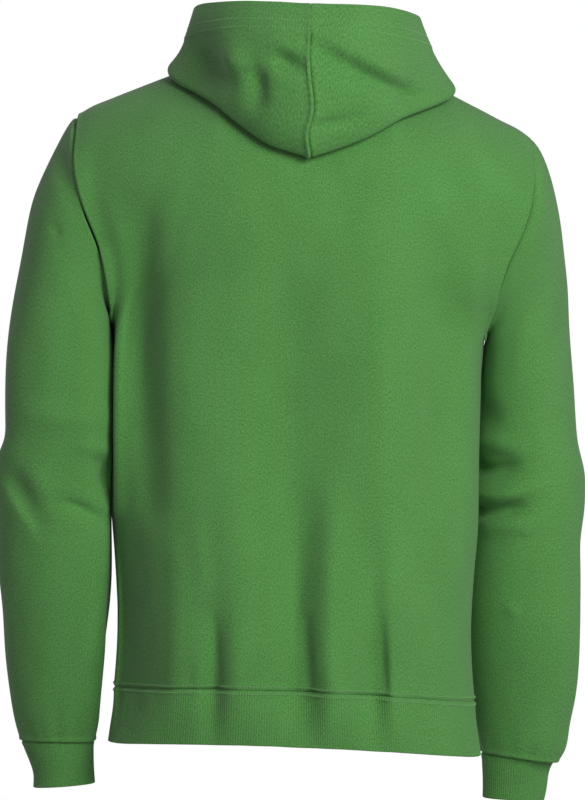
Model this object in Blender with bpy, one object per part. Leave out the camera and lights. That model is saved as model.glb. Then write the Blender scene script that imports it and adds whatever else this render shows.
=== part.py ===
"""Pullover hoodie, as it hangs on a standing wearer with the hood down. Blender 4.5.

Frame: metres, +Z up, the wearer faces -Y, +X is the wearer's left. The origin is the middle of the neck
at the height where the shoulders carry the garment. Every piece is a cloth wall with an outer and an
inner face, cut and placed as its maker would: back, front, two sleeves, two cuffs, a hem band and the
two halves of the hood. Neighbouring pieces stand a seam's gap apart.
"""

import math

import bpy
import numpy as np

MM = 0.001

# Cloth
FLEECE_WALL = 2.0 * MM  # body, sleeves
HOOD_WALL = 2.4 * MM
RIB_WALL = 3.0 * MM  # doubled rib of the hem band and the cuffs
SEAM_GAP = 0.3 * MM

# Grid: how many cells each piece has
HALF_COLUMNS = 18  # from the middle of the back or front to its side
NECK_COLUMNS = 8  # of those, how many lie under the neckline
SIDE_ROWS = 13  # from the hem seam to the armpit
ARMHOLE_ROWS = 12  # from the armpit to the shoulder tip
SLEEVE_STEPS = 24
BAND_ROWS = 3
CUFF_ROWS = 3

# Heights, from the neck
HEM_SEAM = -642 * MM
ARMPIT = -268 * MM
SHOULDER_TIP = -55 * MM
SHOULDER_WIDTH = 472 * MM

# Neck
NECK_HALF_WIDTH = 88.5 * MM
NECK_SIDE_HEIGHT = 12 * MM
NAPE_DEPTH, NAPE_HEIGHT = 70 * MM, -12 * MM
THROAT_DEPTH, THROAT_HEIGHT = -86 * MM, -72 * MM
NECK_DIP = {1: 1.5, -1: 2.2}  # above 1, the neckline leaves the side of the neck gently
RIDGE_DEPTH = -2 * MM  # the shoulder seam runs along the top of the shoulder
SHOULDER_DROP = 106.5 * MM  # how far below its top a shoulder has its full depth
NECK_DROP = 150 * MM

GREEN = (0.085, 0.255, 0.062, 1.0)


def table(columns, *rows):
    """A table with named columns, in millimetres, as {column: array in metres}."""
    values = np.array(rows, float) * MM
    return dict(zip(columns.split(), values.T))


# The body's plan at each height: half its width, how far it reaches back and forward at the middle, and
# where its widest point lies. Above the armpit, the width is where the armholes cut the plan short.
BODY = table(
    "height half_width back front side",
    (-642, 187, 121, -122, 4),
    (-628, 186.5, 127, -128, 6),
    (-600, 183, 127, -131, 10),
    (-560, 183, 124, -133, 13),
    (-520, 185, 121, -134, 15),
    (-450, 190, 118, -136, 16),
    (-380, 190, 119, -138, 15),
    (-320, 190, 123, -138, 11),
    (-268, 193, 127, -137, 3),
    (-240, 197.5, 129, -134, 2),
    (-211, 204, 130, -130, 1),
    (-180, 214, 130, -125, 0),
    (-143, 230, 127, -118, 0),
    (-100, 237, 121, -111, 0),
    (-57, 236, 114, -104, 0),
    (12, 236, 104, -98, 0),
)
PLAN_POWER = 2.1  # 2 is an ellipse
ARMHOLE_BACK = 68 * MM
ARMHOLE_FRONT = 64 * MM
SMOOTHING = 5  # how many times a panel's inner points are eased towards their neighbours
# The ridge line of the shoulder, from the neck to the tip.
RIDGE = table(
    "width height",
    (88.5, 12),
    (120, 0),
    (140, -8),
    (171, -22),
    (204, -37),
    (223, -46),
    (236, -55),
)
# The wearer stands with the weight on one leg: the body leans and the shoulders tip.
POSTURE = table(
    "height lean slope",
    (-760, 15.5, 38),
    (-450, 14.5, 43),
    (-340, 13, 45),
    (-265, 11, 47),
    (-210, 7, 49),
    (-60, 5, 53),
    (0, -1, 64),
    (30, -1, 50),
    (64, -1, 34),
)
# Each sleeve from the armhole to its cuff: the outer and the inner line of its outline seen from
# behind, how far forward its middle hangs, and half its depth from front to back.
LEFT_SLEEVE = table(
    "outer_width outer_height inner_width inner_height middle half_depth",
    (236, -55, 193, -268, 2, 66),
    (244, -65, 194.5, -263, 2, 69),
    (256, -88, 195, -264, 2, 71),
    (268, -113, 194.4, -269, 3, 72),
    (280, -143, 193.4, -279, 4, 72),
    (288, -180, 192.3, -293, 6, 71),
    (294, -224, 191.5, -311, 7, 70),
    (299, -270, 191, -333, 8, 68),
    (302, -320, 190.9, -359, 8, 66),
    (302, -362, 190.9, -382, 7, 64),
    (301, -384, 190.9, -398, 6, 63),
    (309, -408, 190.9, -414, 4, 62),
    (311, -440, 190.9, -438, 2, 61),
    (310, -476, 190.8, -473, -1, 60),
    (309, -517, 190.8, -515, -6, 58),
    (304, -565, 193.5, -561, -13, 54),
    (301, -616, 199, -610, -22, 49),
    (296, -660, 203, -653, -31, 43),
    (291, -688, 205, -681, -37, 39),
    (286, -706, 210, -702, -42, 34),
)
RIGHT_SLEEVE = table(
    "outer_width outer_height inner_width inner_height middle half_depth",
    (236, -55, 193, -268, 2, 66),
    (244, -64, 194.5, -263, 0, 69),
    (253, -82, 195, -264, -4, 71),
    (261, -106, 194, -269, -11, 72),
    (268, -137, 192.3, -279, -18, 72),
    (273, -172, 190.5, -292, -26, 71),
    (278, -212, 189, -310, -32, 70),
    (283, -256, 187.8, -332, -37, 68),
    (289, -300, 186.5, -354, -40, 66),
    (293, -346, 185.5, -379, -44, 64),
    (297, -374, 185, -394, -46, 63),
    (303, -399, 184, -408, -48, 62),
    (305, -436, 184, -438, -51, 61),
    (301, -458, 183, -458, -53, 60),
    (300, -493, 180, -491, -57, 59),
    (298, -536, 177, -534, -62, 56),
    (296, -581, 178, -577, -68, 52),
    (295, -622, 181, -615, -75, 47),
    (288, -659, 186, -650, -81, 42),
    (283, -692, 193, -684, -86, 38),
    (275, -708, 198, -703, -89, 34),
)
LEFT_CUFF = table(
    "outer_width outer_height inner_width inner_height middle half_depth",
    (286, -706, 210, -702, -42, 34),
    (281, -719, 210, -715, -44, 32),
    (274, -739, 210, -731, -48, 30),
    (274, -755, 209, -748, -51, 29),
)
RIGHT_CUFF = table(
    "outer_width outer_height inner_width inner_height middle half_depth",
    (275, -708, 198, -703, -89, 34),
    (270, -720, 199, -717, -91, 32),
    (268, -736, 200, -734, -95, 30),
    (265, -753, 200, -752, -99, 29),
)
BAND = table(
    "height half_width back front side",
    (-642, 187, 121, -122, 4),
    (-655, 187.5, 122, -122, 3),
    (-678, 190.5, 120, -121, 2),
    (-699, 193.5, 116, -118, 2),
)
# How square the left sleeve's section is where the arm presses it against the body, and where the
# elbow fills it on the outer side, 1 being an ellipse; and the rows of its table where that sets in
# and, at the elbow, ends again.
PRESSED, PRESSED_FROM = 0.5, (2.5, 6)
FILLED, FILLED_FROM, FILLED_TO = 0.72, (5, 9), (10, 14)
# Behind the line where it touches the body, that sleeve leans over the body's side.
OVERLAP, OVERLAP_STEPS, OVERLAP_DEPTHS = 4 * MM, (1.5, 4), (12 * MM, 42 * MM)
HEM_LIFT = 9 * MM  # the hem rides this much higher at the middle of the back
# Each half of the hood from the middle of the back (0) to the throat (1000): how steeply it leaves the
# neck seam, in degrees; where on the body its lowest fold lies, by how far out and how far back; how
# round that fold is, how far it turns, in degrees, and how far the cloth carries on past it; then the
# rim, and how far below it the cloth hangs out and down.
HOOD_COLUMNS = "station slope fold_width fold_depth radius turn carry rim_x rim_y rim_z hang_out hang_down"
LEFT_HOOD = table(
    HOOD_COLUMNS,
    (0, 55, 0, 113, 7, 100, 30, 0, 126, 62.5, 34, 44),
    (125, 51, 37, 107, 7, 104, 28, 37, 121, 63.5, 31, 42),
    (250, 45, 72, 93, 6, 110, 24, 74, 104, 64.5, 26, 38),
    (375, 36, 112, 54, 5, 135, 18, 104, 71, 64.5, 18, 34),
    (500, 28, 140, 17, 4.4, 148, 20, 119, 28, 61, 14, 40),
    (625, 30, 124, -32, 5, 130, 12, 114, -24, 40, 8, 24),
    (750, 36, 88, -66, 6, 115, 12, 90, -66, 6, 8, 22),
    (875, 50, 46, -88, 6, 115, 10, 50, -94, -28, 6, 18),
    (1000, 62, 4, -97, 6, 115, 8, 3, -110, -48, 4, 14),
)
RIGHT_HOOD = table(
    HOOD_COLUMNS,
    (0, 55, 0, 113, 7, 100, 30, 0, 126, 62.5, 34, 44),
    (125, 51, 37, 107, 7, 104, 28, 37, 121, 63.5, 31, 42),
    (250, 45, 74, 97, 6, 110, 24, 70, 104, 64, 26, 38),
    (375, 36, 115, 60, 5, 130, 16, 100, 71, 62.5, 18, 34),
    (500, 28, 145, 18, 4.4, 145, 18, 113, 28, 59, 18, 36),
    (625, 30, 126, -32, 5, 130, 12, 112, -24, 38, 10, 24),
    (750, 36, 88, -66, 6, 115, 12, 90, -66, 6, 8, 22),
    (875, 50, 46, -88, 6, 115, 10, 50, -94, -28, 6, 18),
    (1000, 62, 4, -97, 6, 115, 8, 3, -110, -48, 4, 14),
)
HOOD_STAND = 5 * MM  # how far the hood stands up from the neck seam before it rolls over
HOOD_ROLL = 4 * MM  # radius of that roll
HOOD_CLEAR = 4 * MM  # how far the lowest fold lies off the body
HOOD_SAG = 3 * MM  # how far the hidden layer arches away from the body on its way there
HOOD_CELLS = {"stand": 1, "roll": 4, "under": 5, "fold": 5, "outer": 9}

# Folds: the middle line runs from a start through a middle to an end, in the garment as it hangs; then
# the width from crest to foot, and how far it stands out (or in, negative) at those three places.
FOLD_COLUMNS = "start_x start_z middle_x middle_z end_x end_z width start_rise middle_rise end_rise"
BACK_FOLDS = table(
    FOLD_COLUMNS,
    (213, -150, 204, -280, 203, -470, 16, 13, 22, 6),
    (168, -160, 167, -290, 161, -440, 15, -5, -12, -8),
    (126, -190, 128, -330, 126, -590, 42, 3, 10, 7),
    (194, -440, 192, -550, 190, -640, 26, -4, -18, -18),
    (138, -480, 136, -560, 134, -640, 16, 2, 5, 4),
    (73, -390, 71, -520, 70, -640, 26, 2, 8, 8),
    (98, -540, 97, -590, 95, -640, 10, -1, -6, -11),
    (-76, -170, -78, -340, -70, -560, 34, 3, 13, 8),
    (20, -150, 20, -330, 18, -480, 36, -2, -10, -6),
    (-23, -440, -20, -550, -23, -636, 20, 3, 11, 12),
    (6, -440, 11, -550, 8, -636, 16, -5, -15, -15),
    (-64, -480, -64, -570, -63, -640, 12, -2, -8, -12),
    (-90, -470, -88, -560, -86, -640, 16, 1, 5, 6),
    (-132, -180, -134, -300, -130, -430, 22, -3, -8, -5),
    (-172, -150, -172, -250, -168, -400, 18, 1, 5, 2),
)
FRONT_FOLDS = table(
    FOLD_COLUMNS,
    (-178, -150, -168, -300, -150, -430, 16, 3, 6, 3),
    (172, -150, 160, -290, 158, -420, 18, -3, -7, -2),
    (60, -360, 54, -500, 58, -640, 24, 1, 6, 5),
    (22, -420, 14, -540, 16, -636, 18, -2, -7, -9),
    (-66, -380, -58, -520, -62, -636, 20, -2, -6, -8),
    (-104, -200, -112, -380, -100, -560, 26, 2, 5, 2),
)
SLEEVE_FOLDS = table(
    FOLD_COLUMNS,
    (324, -420, 305, -450, 286, -478, 8, 1, 2, 1),
    (312, -408, 296, -434, 279, -462, 13, -2, -5, -3),
    (296, -400, 280, -422, 262, -446, 12, 0, 2, 0),
    (212, -404, 206, -418, 206, -432, 9, -6, -9, -4),
    (256, -444, 234, -450, 212, -462, 8, -2, -4, -3),
    (286, -350, 250, -358, 216, -356, 13, 2, 3, 2),
    (-176, -382, -194, -382, -214, -386, 10, 3, 4, 1),
    (-174, -409, -196, -410, -224, -402, 9, -9, -9, -1),
    (-176, -436, -204, -436, -242, -426, 9, 5, 7, 2),
    (-176, -455, -204, -453, -228, -446, 7, -6, -7, -1),
    (-190, -472, -214, -469, -236, -466, 9, 2, 4, 1),
)
HOOD_FOLDS = table(
    FOLD_COLUMNS,
    (-4, 23, -43, 9, -82, -10, 12, 3, 8, 5),
    (-8, 7, -50, -8, -96, -27, 12, -4, -9, -7),
    (40, 4, 22, 0, 6, -8, 9, -3, -8, -4),
    (44, 20, 28, 17, 8, 9, 10, 1, 3, 1),
    (57, 0, 56, -16, 54, -36, 10, -3, -7, -5),
    (82, 26, 75, 6, 70, -8, 13, 2, 7, 2),
    (122, 30, 106, 8, 86, -14, 15, -6, -11, -4),
)


# --- Smooth lines through tables -----------------------------------------------------------------


def smooth(knots, values, at):
    """A smooth line through (knots, values) that never overshoots, read at `at` and held past its ends."""
    x, y = np.asarray(knots, float), np.asarray(values, float)
    if x[0] > x[-1]:
        x, y = x[::-1], y[::-1]
    step = np.diff(x)
    slope = np.diff(y) / step
    before, after = slope[:-1], slope[1:]
    turning = before * after <= 0
    weight_a, weight_b = 2 * step[1:] + step[:-1], step[1:] + 2 * step[:-1]
    harmonic = (weight_a + weight_b) / (
        weight_a / np.where(turning, 1, before) + weight_b / np.where(turning, 1, after)
    )
    tangent = np.concatenate([slope[:1], np.where(turning, 0, harmonic), slope[-1:]])
    at = np.clip(at, x[0], x[-1])
    i = np.clip(np.searchsorted(x, at, side="right") - 1, 0, len(step) - 1)
    t, h = (at - x[i]) / step[i], step[i]
    return (
        (2 * t**3 - 3 * t**2 + 1) * y[i]
        + (t**3 - 2 * t**2 + t) * h * tangent[i]
        + (3 * t**2 - 2 * t**3) * y[i + 1]
        + (t**3 - t**2) * h * tangent[i + 1]
    )


def ramp(low, high, at):
    """0 below low, 1 above high, and smooth between."""
    t = np.clip((at - low) / (high - low), 0, 1)
    return t * t * (3 - 2 * t)


def unit(vectors):
    return vectors / np.maximum(np.linalg.norm(vectors, axis=-1, keepdims=True), 1e-12)


def posed(points):
    """The points as the wearer's stance carries them."""
    x, y, z = np.moveaxis(points, -1, 0)
    lean = smooth(POSTURE["height"], POSTURE["lean"], z)
    slope = smooth(POSTURE["height"], POSTURE["slope"], z)
    return np.stack([x + lean, y, z + slope * x], axis=-1)


def relief(folds, points):
    """How far the folds carry the cloth in or out, by where each point is seen from behind."""
    place = points[..., [0, 2]]
    steps = np.linspace(0, 1, 13)
    total = np.zeros(place.shape[:-1])
    for start_x, start_z, middle_x, middle_z, end_x, end_z, width, *rises in np.stack(
        list(folds.values()), axis=-1
    ):
        shares = np.stack(
            [(1 - steps) * (1 - 2 * steps), 4 * steps * (1 - steps), steps * (2 * steps - 1)]
        )
        line = shares.T @ np.array([[start_x, start_z], [middle_x, middle_z], [end_x, end_z]])
        nearest = np.full(total.shape, np.inf)
        rise = np.zeros(total.shape)
        for k, (a, b) in enumerate(zip(line[:-1], line[1:])):
            along = np.clip((place - a) @ (b - a) / ((b - a) @ (b - a)), 0, 1)
            away = np.linalg.norm(place - a - along[..., None] * (b - a), axis=-1)
            at = smooth([0, 0.5, 1], rises, steps[k] + along * (steps[k + 1] - steps[k]))
            rise = np.where(away < nearest, at, rise)
            nearest = np.minimum(away, nearest)
        total += rise * np.exp(-((nearest / width) ** 2))
    return total


# --- Body ----------------------------------------------------------------------------------------


def neck_share(across):
    """0 at the middle of a panel to 1 at the side of the neck, and past 1 along the shoulder."""
    return across * HALF_COLUMNS / NECK_COLUMNS


def panel_top(side, across):
    """The top edge of a panel, x, y and z, at `across` from 0 (middle) to 1 (shoulder tip)."""
    share = neck_share(across)
    angle = np.clip(share, 0, 1) * math.pi / 2
    past = np.clip((share - 1) / (HALF_COLUMNS / NECK_COLUMNS - 1), 0, 1)
    shoulder_x = NECK_HALF_WIDTH + past * (SHOULDER_WIDTH / 2 - NECK_HALF_WIDTH)
    x = np.where(share < 1, NECK_HALF_WIDTH * np.sin(angle), shoulder_x)
    depth, height = (NAPE_DEPTH, NAPE_HEIGHT) if side > 0 else (THROAT_DEPTH, THROAT_HEIGHT)
    y = RIDGE_DEPTH + (depth - RIDGE_DEPTH) * np.cos(angle)
    dip = np.maximum(np.cos(angle), 0) ** NECK_DIP[side]
    neck_z = NECK_SIDE_HEIGHT + (height - NECK_SIDE_HEIGHT) * dip
    ridge_z = smooth(RIDGE["width"], RIDGE["height"], shoulder_x)
    return x, y, np.where(share < 1, neck_z, ridge_z)


def hem_lift(side, share):
    """How much higher the hem rides at the middle of the back than at the side seams."""
    return HEM_LIFT * (1 - share**2) if side > 0 else 0 * share


def shoulder_shape(across):
    """How far below its top edge a panel has its full depth, and how round it is on the way, 0 to 1."""
    share = neck_share(across)
    past = ramp(1, HALF_COLUMNS / NECK_COLUMNS, share)
    drop = NECK_DROP - 20 * MM * ramp(0, 1, share)
    return drop + (SHOULDER_DROP - drop) * past, past


def plan_depth(width, depth, x):
    """How deep the plan curve is at x, as a share of `depth`."""
    return depth * np.maximum(1 - np.clip(x / width, 0, 1) ** PLAN_POWER, 0) ** (1 / PLAN_POWER)


def panel(side, u, v):
    """A point of the back (side 1) or front (side -1) at u from -1 to 1 across and v from 0, the hem
    seam, to 1, the neckline and shoulder seam."""
    across = np.abs(u)
    top_x, top_y, top_z = panel_top(side, across)
    edge_z = HEM_SEAM + (SHOULDER_TIP - HEM_SEAM) * v
    width = smooth(BODY["height"], BODY["half_width"], edge_z)
    seam_y = smooth(BODY["height"], BODY["side"], edge_z)
    depth = smooth(BODY["height"], BODY["back" if side > 0 else "front"], edge_z) - seam_y
    middle_height = 0.5 * (ARMPIT + SHOULDER_TIP)
    half_height = 0.5 * (SHOULDER_TIP - ARMPIT)
    below_middle = np.clip((middle_height - edge_z) / half_height, 0, 1)
    reach = (ARMHOLE_BACK if side > 0 else ARMHOLE_FRONT) * np.sqrt(1 - below_middle**2)
    first_turn = np.arcsin(np.clip(reach / np.abs(depth), 0, 1) ** (PLAN_POWER / 2))
    turn = math.pi / 2 - (math.pi / 2 - first_turn) * across
    edge_x = width
    width = edge_x / np.cos(first_turn) ** (2 / PLAN_POWER)
    round_x = width * np.maximum(np.cos(turn), 0) ** (2 / PLAN_POWER)
    spread = ramp(0.55, 1.0, v)
    x = (1 - spread) * round_x + spread * edge_x * top_x / (SHOULDER_WIDTH / 2)
    hem_z = HEM_SEAM + hem_lift(side, np.sin(across * math.pi / 2))
    z = hem_z + (top_z - hem_z) * v
    full_y = seam_y + plan_depth(width, depth, x)
    drop, roundness = shoulder_shape(across)
    down = np.clip((top_z - z) / drop, 0, 1)
    rounding = (1 - (1 - down) ** 2) ** (1 / (1 + roundness))
    y = top_y + (full_y - top_y) * rounding
    return np.stack([x * np.sign(u), y, z], axis=-1)


def panel_rows():
    """The v of each row: even to the armpit, then as the armhole's arc needs."""
    armpit = (ARMPIT - HEM_SEAM) / (SHOULDER_TIP - HEM_SEAM)
    low = np.linspace(0, armpit, SIDE_ROWS + 1)
    turn = 0.5 - 0.5 * np.cos(np.linspace(0, math.pi, ARMHOLE_ROWS + 1))
    return np.concatenate([low, (armpit + (1 - armpit) * turn)[1:]])


def body_relief(side, points, share):
    """The folds of the back or front, which die out at the side seams and the armholes."""
    folds = BACK_FOLDS if side > 0 else FRONT_FOLDS
    return side * relief(folds, points) * (1 - ramp(0.97, 1.0, share))


def eased(points, rows):
    """The points with each inner one moved towards the middle of its neighbours, again and again, but
    for those near the neckline and the shoulder seam."""
    share = 0.6 * (1 - ramp(0.78, 0.93, rows))[1:-1, None, None]
    for _ in range(SMOOTHING):
        middle = (points[:-2, 1:-1] + points[2:, 1:-1] + points[1:-1, :-2] + points[1:-1, 2:]) / 4
        points[1:-1, 1:-1] += share * (middle - points[1:-1, 1:-1])
    return points


def panel_grid(side):
    u = np.linspace(-1, 1, 2 * HALF_COLUMNS + 1)
    rows = panel_rows()
    points = posed(eased(panel(side, *np.broadcast_arrays(u[None, :], rows[:, None])), rows))
    points[..., 1] += body_relief(side, points, np.sin(np.abs(u) * math.pi / 2)[None, :])
    return points


# --- Rings: hem band, sleeves and cuffs -------------------------------------------------------------


def band_grid():
    """The hem band, from the seam down. Its columns follow the back from right to left, then the front."""
    u = np.linspace(-1, 1, 2 * HALF_COLUMNS + 1)
    share = np.sin(np.abs(u) * math.pi / 2)
    rows = np.linspace(BAND["height"][0], BAND["height"][-1], BAND_ROWS + 1)[:, None]
    width, back, front, seam_y = (
        smooth(BAND["height"], BAND[name], rows) for name in ("half_width", "back", "front", "side")
    )
    halves = []
    for side, depth in ((1, back), (-1, front)):
        x = width * share ** (2 / PLAN_POWER)
        y = seam_y + plan_depth(width, depth - seam_y, x)
        half = posed(np.stack([x * np.sign(u), y, rows + hem_lift(side, share)], axis=-1))
        fade = 1 - 0.9 * (rows - rows[0]) / (rows[-1] - rows[0])
        at_seam = np.broadcast_to(half[:1], half.shape)
        half[..., 1] += body_relief(side, at_seam, share) * fade
        halves.append(half)
    return np.concatenate([halves[0], halves[1][:, -2:0:-1]], axis=1)


def ring(sizes, step, turn, squareness=1.0):
    """A point of a tube: step along its table's rows, and turn from 0, outward, by the back."""
    at = {
        name: smooth(np.arange(len(column)), column, step) for name, column in sizes.items()
    }
    outer, inner = (
        np.stack([at[f"{line}_width"], np.zeros_like(step), at[f"{line}_height"]], axis=-1)
        for line in ("outer", "inner")
    )
    points = (outer + inner) / 2 + (outer - inner) / 2 * np.cos(turn)[..., None]
    rise = np.abs(np.sin(turn)) ** squareness * np.sign(np.sin(turn))
    points[..., 1] += at["middle"] + at["half_depth"] * rise
    return points


def left_squareness(step, turn):
    """The power that squares the left sleeve's section, below 1 where the arm fills or presses it."""
    by_body = ramp(0.3, -0.6, np.cos(turn)) * ramp(*PRESSED_FROM, step) * ramp(0, 2, step[-1] - step)
    outside = ramp(0.3, 0.9, np.cos(turn)) * ramp(*FILLED_FROM, step) * (1 - ramp(*FILLED_TO, step))
    return 1 - (1 - PRESSED) * by_body - (1 - FILLED) * outside


def armhole(side_x, back, front):
    """The armhole's edge, as the two panels end there, from the shoulder tip by the back to the armpit."""
    column = -1 if side_x > 0 else 0
    behind = back[: SIDE_ROWS - 1 : -1, column]
    return np.concatenate([behind, front[SIDE_ROWS + 1 : -1, column]])


def tube_grid(side_x, sizes, steps, squareness=None):
    """A sleeve or cuff as rings, each from its outer line by the back."""
    step = np.linspace(0, len(sizes["middle"]) - 1, steps + 1)[:, None]
    turn = np.arange(2 * ARMHOLE_ROWS)[None, :] * math.pi / ARMHOLE_ROWS
    step, turn = np.broadcast_arrays(step, turn)
    points = ring(sizes, step, turn, 1 if squareness is None else squareness(step, turn))
    points[..., 0] *= side_x
    return posed(points), step, turn


def sleeve_grid(side_x, sizes, back, front):
    """A sleeve, which starts on the armhole's own line and settles into round rings."""
    squareness = left_squareness if side_x > 0 else None
    points, step, turn = tube_grid(side_x, sizes, SLEEVE_STEPS, squareness)
    if side_x > 0:
        behind = ramp(*OVERLAP_DEPTHS, points[..., 1]) * ramp(0, -0.6, np.cos(turn))
        points[..., 0] -= OVERLAP * behind * ramp(*OVERLAP_STEPS, step)
    off = armhole(side_x, back, front) - points[0]
    points = points + off * (1 - ramp(0, 6, step))[..., None]
    last = len(sizes["middle"]) - 1
    facing = np.clip(np.sin(turn), 0, 1) * ramp(0, 3, step) * ramp(0, 1, last - step)
    points[..., 1] += relief(SLEEVE_FOLDS, points) * facing
    return points


# --- Hood ----------------------------------------------------------------------------------------


def shoulder_map(side):
    """A fine grid of the back's or front's upper part: its u, v and points."""
    u, down = np.linspace(0, 0.9, 451)[:, None], np.linspace(0, 0.7, 701)[None, :]
    v = 1 - shoulder_shape(u)[0] * down / (panel_top(side, u)[2] - HEM_SEAM)
    u, v = np.broadcast_arrays(u, v)
    return u, v, panel(side, u, v)


def body_place(maps, width, depth):
    """The body's point this far out and this far back, and its outward direction."""
    side = 1 if depth >= RIDGE_DEPTH else -1
    u, v, points = maps[side]
    away = (points[..., 0] - width) ** 2 + (points[..., 1] - depth) ** 2
    best = np.unravel_index(np.argmin(away), away.shape)
    u, v = u[best], min(v[best], 1 - 2e-3)
    across = panel(side, u + 2e-3, v) - panel(side, u - 2e-3, v)
    up = panel(side, u, v + 1e-4) - panel(side, u, v - 1e-4)
    normal = unit(np.cross(up, across)) * side
    normal[1] *= ramp(0, 20 * MM, abs(depth - RIDGE_DEPTH))
    return points[best], unit(normal)


def bezier(first, second, third, fourth, t):
    t = t[:, None]
    near = first * (1 - t) ** 3 + second * 3 * t * (1 - t) ** 2
    return near + third * 3 * t**2 * (1 - t) + fourth * t**3


def hood_section(j, at, place, fold_n):
    """The hood's cut through one column of the neck seam, from the seam to the rim."""
    columns = 2 * NECK_COLUMNS
    side = 1 if j <= NECK_COLUMNS else -1
    seam_u = min(j, columns - j) / HALF_COLUMNS
    seam = panel(side, seam_u, 1.0)
    angle = math.pi * j / columns
    outward = unit(np.array([math.sin(angle), math.cos(angle), 0.0]))
    slope = at["slope"] / MM
    upward = np.array([0, 0, 1.0])
    s = outward * math.cos(math.radians(slope)) - upward * math.sin(math.radians(slope))
    n = outward * math.sin(math.radians(slope)) + upward * math.cos(math.radians(slope))
    stand = seam - s * HOOD_STAND
    turns = np.linspace(0, math.pi, HOOD_CELLS["roll"] + 1)[1:, None]
    roll = stand - s * HOOD_ROLL * np.sin(turns) + n * HOOD_ROLL * (1 - np.cos(turns))
    fold_s = place - seam
    fold_s = unit(fold_s - fold_n * np.dot(fold_s, fold_n))
    landing = place + fold_n * HOOD_CLEAR
    length = np.linalg.norm(landing - roll[-1]) / 3
    under = bezier(
        roll[-1],
        roll[-1] + s * length + n * HOOD_SAG,
        landing - fold_s * length + fold_n * HOOD_SAG,
        landing,
        np.linspace(0, 1, HOOD_CELLS["under"] + 1)[1:],
    )
    turn = math.radians(at["turn"] / MM)
    turns = np.linspace(0, turn, HOOD_CELLS["fold"] + 1)[1:, None]
    radius = at["radius"]
    fold = landing + fold_s * radius * np.sin(turns) + fold_n * radius * (1 - np.cos(turns))
    heading = fold_s * math.cos(turn) + fold_n * math.sin(turn)
    rim = np.array([at["rim_x"], at["rim_y"], at["rim_z"]])
    fold_out = unit(fold_n * np.array([1, 1, 0]))
    outer = bezier(
        fold[-1],
        fold[-1] + heading * at["carry"],
        rim + fold_out * at["hang_out"] - upward * at["hang_down"],
        rim,
        np.linspace(0, 1, HOOD_CELLS["outer"] + 1)[1:],
    )
    return np.concatenate([seam[None], stand[None], roll, under, fold, outer])


def hood_cut(sizes, maps):
    """One half of the hood before the wearer's stance, as the left one: columns from the middle of the
    back to the throat, rows from the neck seam over the roll, down to the lowest fold and up to the rim."""
    columns = 2 * NECK_COLUMNS
    stations = np.linspace(0, 1, columns + 1)
    at = {name: smooth(sizes["station"], column, stations) for name, column in sizes.items()}
    places, normals = map(
        np.array, zip(*(body_place(maps, *spot) for spot in zip(at["fold_width"], at["fold_depth"])))
    )
    for _ in range(4):
        normals[1:-1] = unit(normals[:-2] + 2 * normals[1:-1] + normals[2:])
    normals[[0, -1], 0] = 0
    normals = unit(normals)
    sections = [
        hood_section(j, {name: column[j] for name, column in at.items()}, places[j], normals[j])
        for j in range(columns + 1)
    ]
    return np.stack(sections, axis=1)


def hood_half(side_x, sizes, maps):
    """One half of the hood in the wearer's stance, with its folds."""
    points = posed(hood_cut(sizes, maps) * np.array([side_x, 1, 1]))
    first = points.shape[0] - HOOD_CELLS["outer"]
    share = ramp(first, first + 3, np.arange(points.shape[0]))[:, None]
    points[..., 1] += relief(HOOD_FOLDS, points) * share * ramp(20 * MM, 60 * MM, points[..., 1])
    return points


# --- Cloth walls ---------------------------------------------------------------------------------


def grid_normals(points, wraps, flip):
    """Outward directions of a grid of points, unnormalised, by the faces around each."""
    if wraps:
        points = np.concatenate([points, points[:, :1]], axis=1)
    a, b = points[:-1, :-1], points[:-1, 1:]
    c, d = points[1:, 1:], points[1:, :-1]
    face = np.cross(c - a, d - b) * flip
    normals = np.zeros_like(points)
    normals[:-1, :-1] += face
    normals[:-1, 1:] += face
    normals[1:, 1:] += face
    normals[1:, :-1] += face
    if wraps:
        normals[:, 0] += normals[:, -1]
        normals = normals[:, :-1]
    return normals


def shared_normals(pieces):
    """Outward directions of every piece's points, the same on both sides of a seam."""
    found = {}
    for piece in pieces.values():
        piece["normals"] = grid_normals(piece["points"], piece["wraps"], piece["flip"])
        keys = np.round(piece["points"] / 1e-7).astype(np.int64)
        piece["keys"] = keys
        for key, normal in zip(keys.reshape(-1, 3), piece["normals"].reshape(-1, 3)):
            key = tuple(key)
            found[key] = found.get(key, 0) + normal
    for piece in pieces.values():
        shape = piece["points"].shape
        total = [found[tuple(key)] for key in piece["keys"].reshape(-1, 3)]
        piece["normals"] = unit(np.array(total).reshape(shape))


def seam_shift(points, normals, inward):
    """Half a seam's gap, within the cloth and square to the seam."""
    along = np.gradient(points, axis=0)
    along = unit(along - normals * np.sum(along * normals, axis=-1, keepdims=True))
    into = inward - normals * np.sum(inward * normals, axis=-1, keepdims=True)
    into = unit(into - along * np.sum(into * along, axis=-1, keepdims=True))
    return into * SEAM_GAP / 2


def halves(quad, corners):
    """A four-cornered face as two triangles, cut along its shorter diagonal."""
    a, b, c, d = quad
    if np.linalg.norm(corners[a] - corners[c]) <= np.linalg.norm(corners[b] - corners[d]):
        return [(a, b, c), (a, c, d)]
    return [(a, b, d), (b, c, d)]


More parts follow.
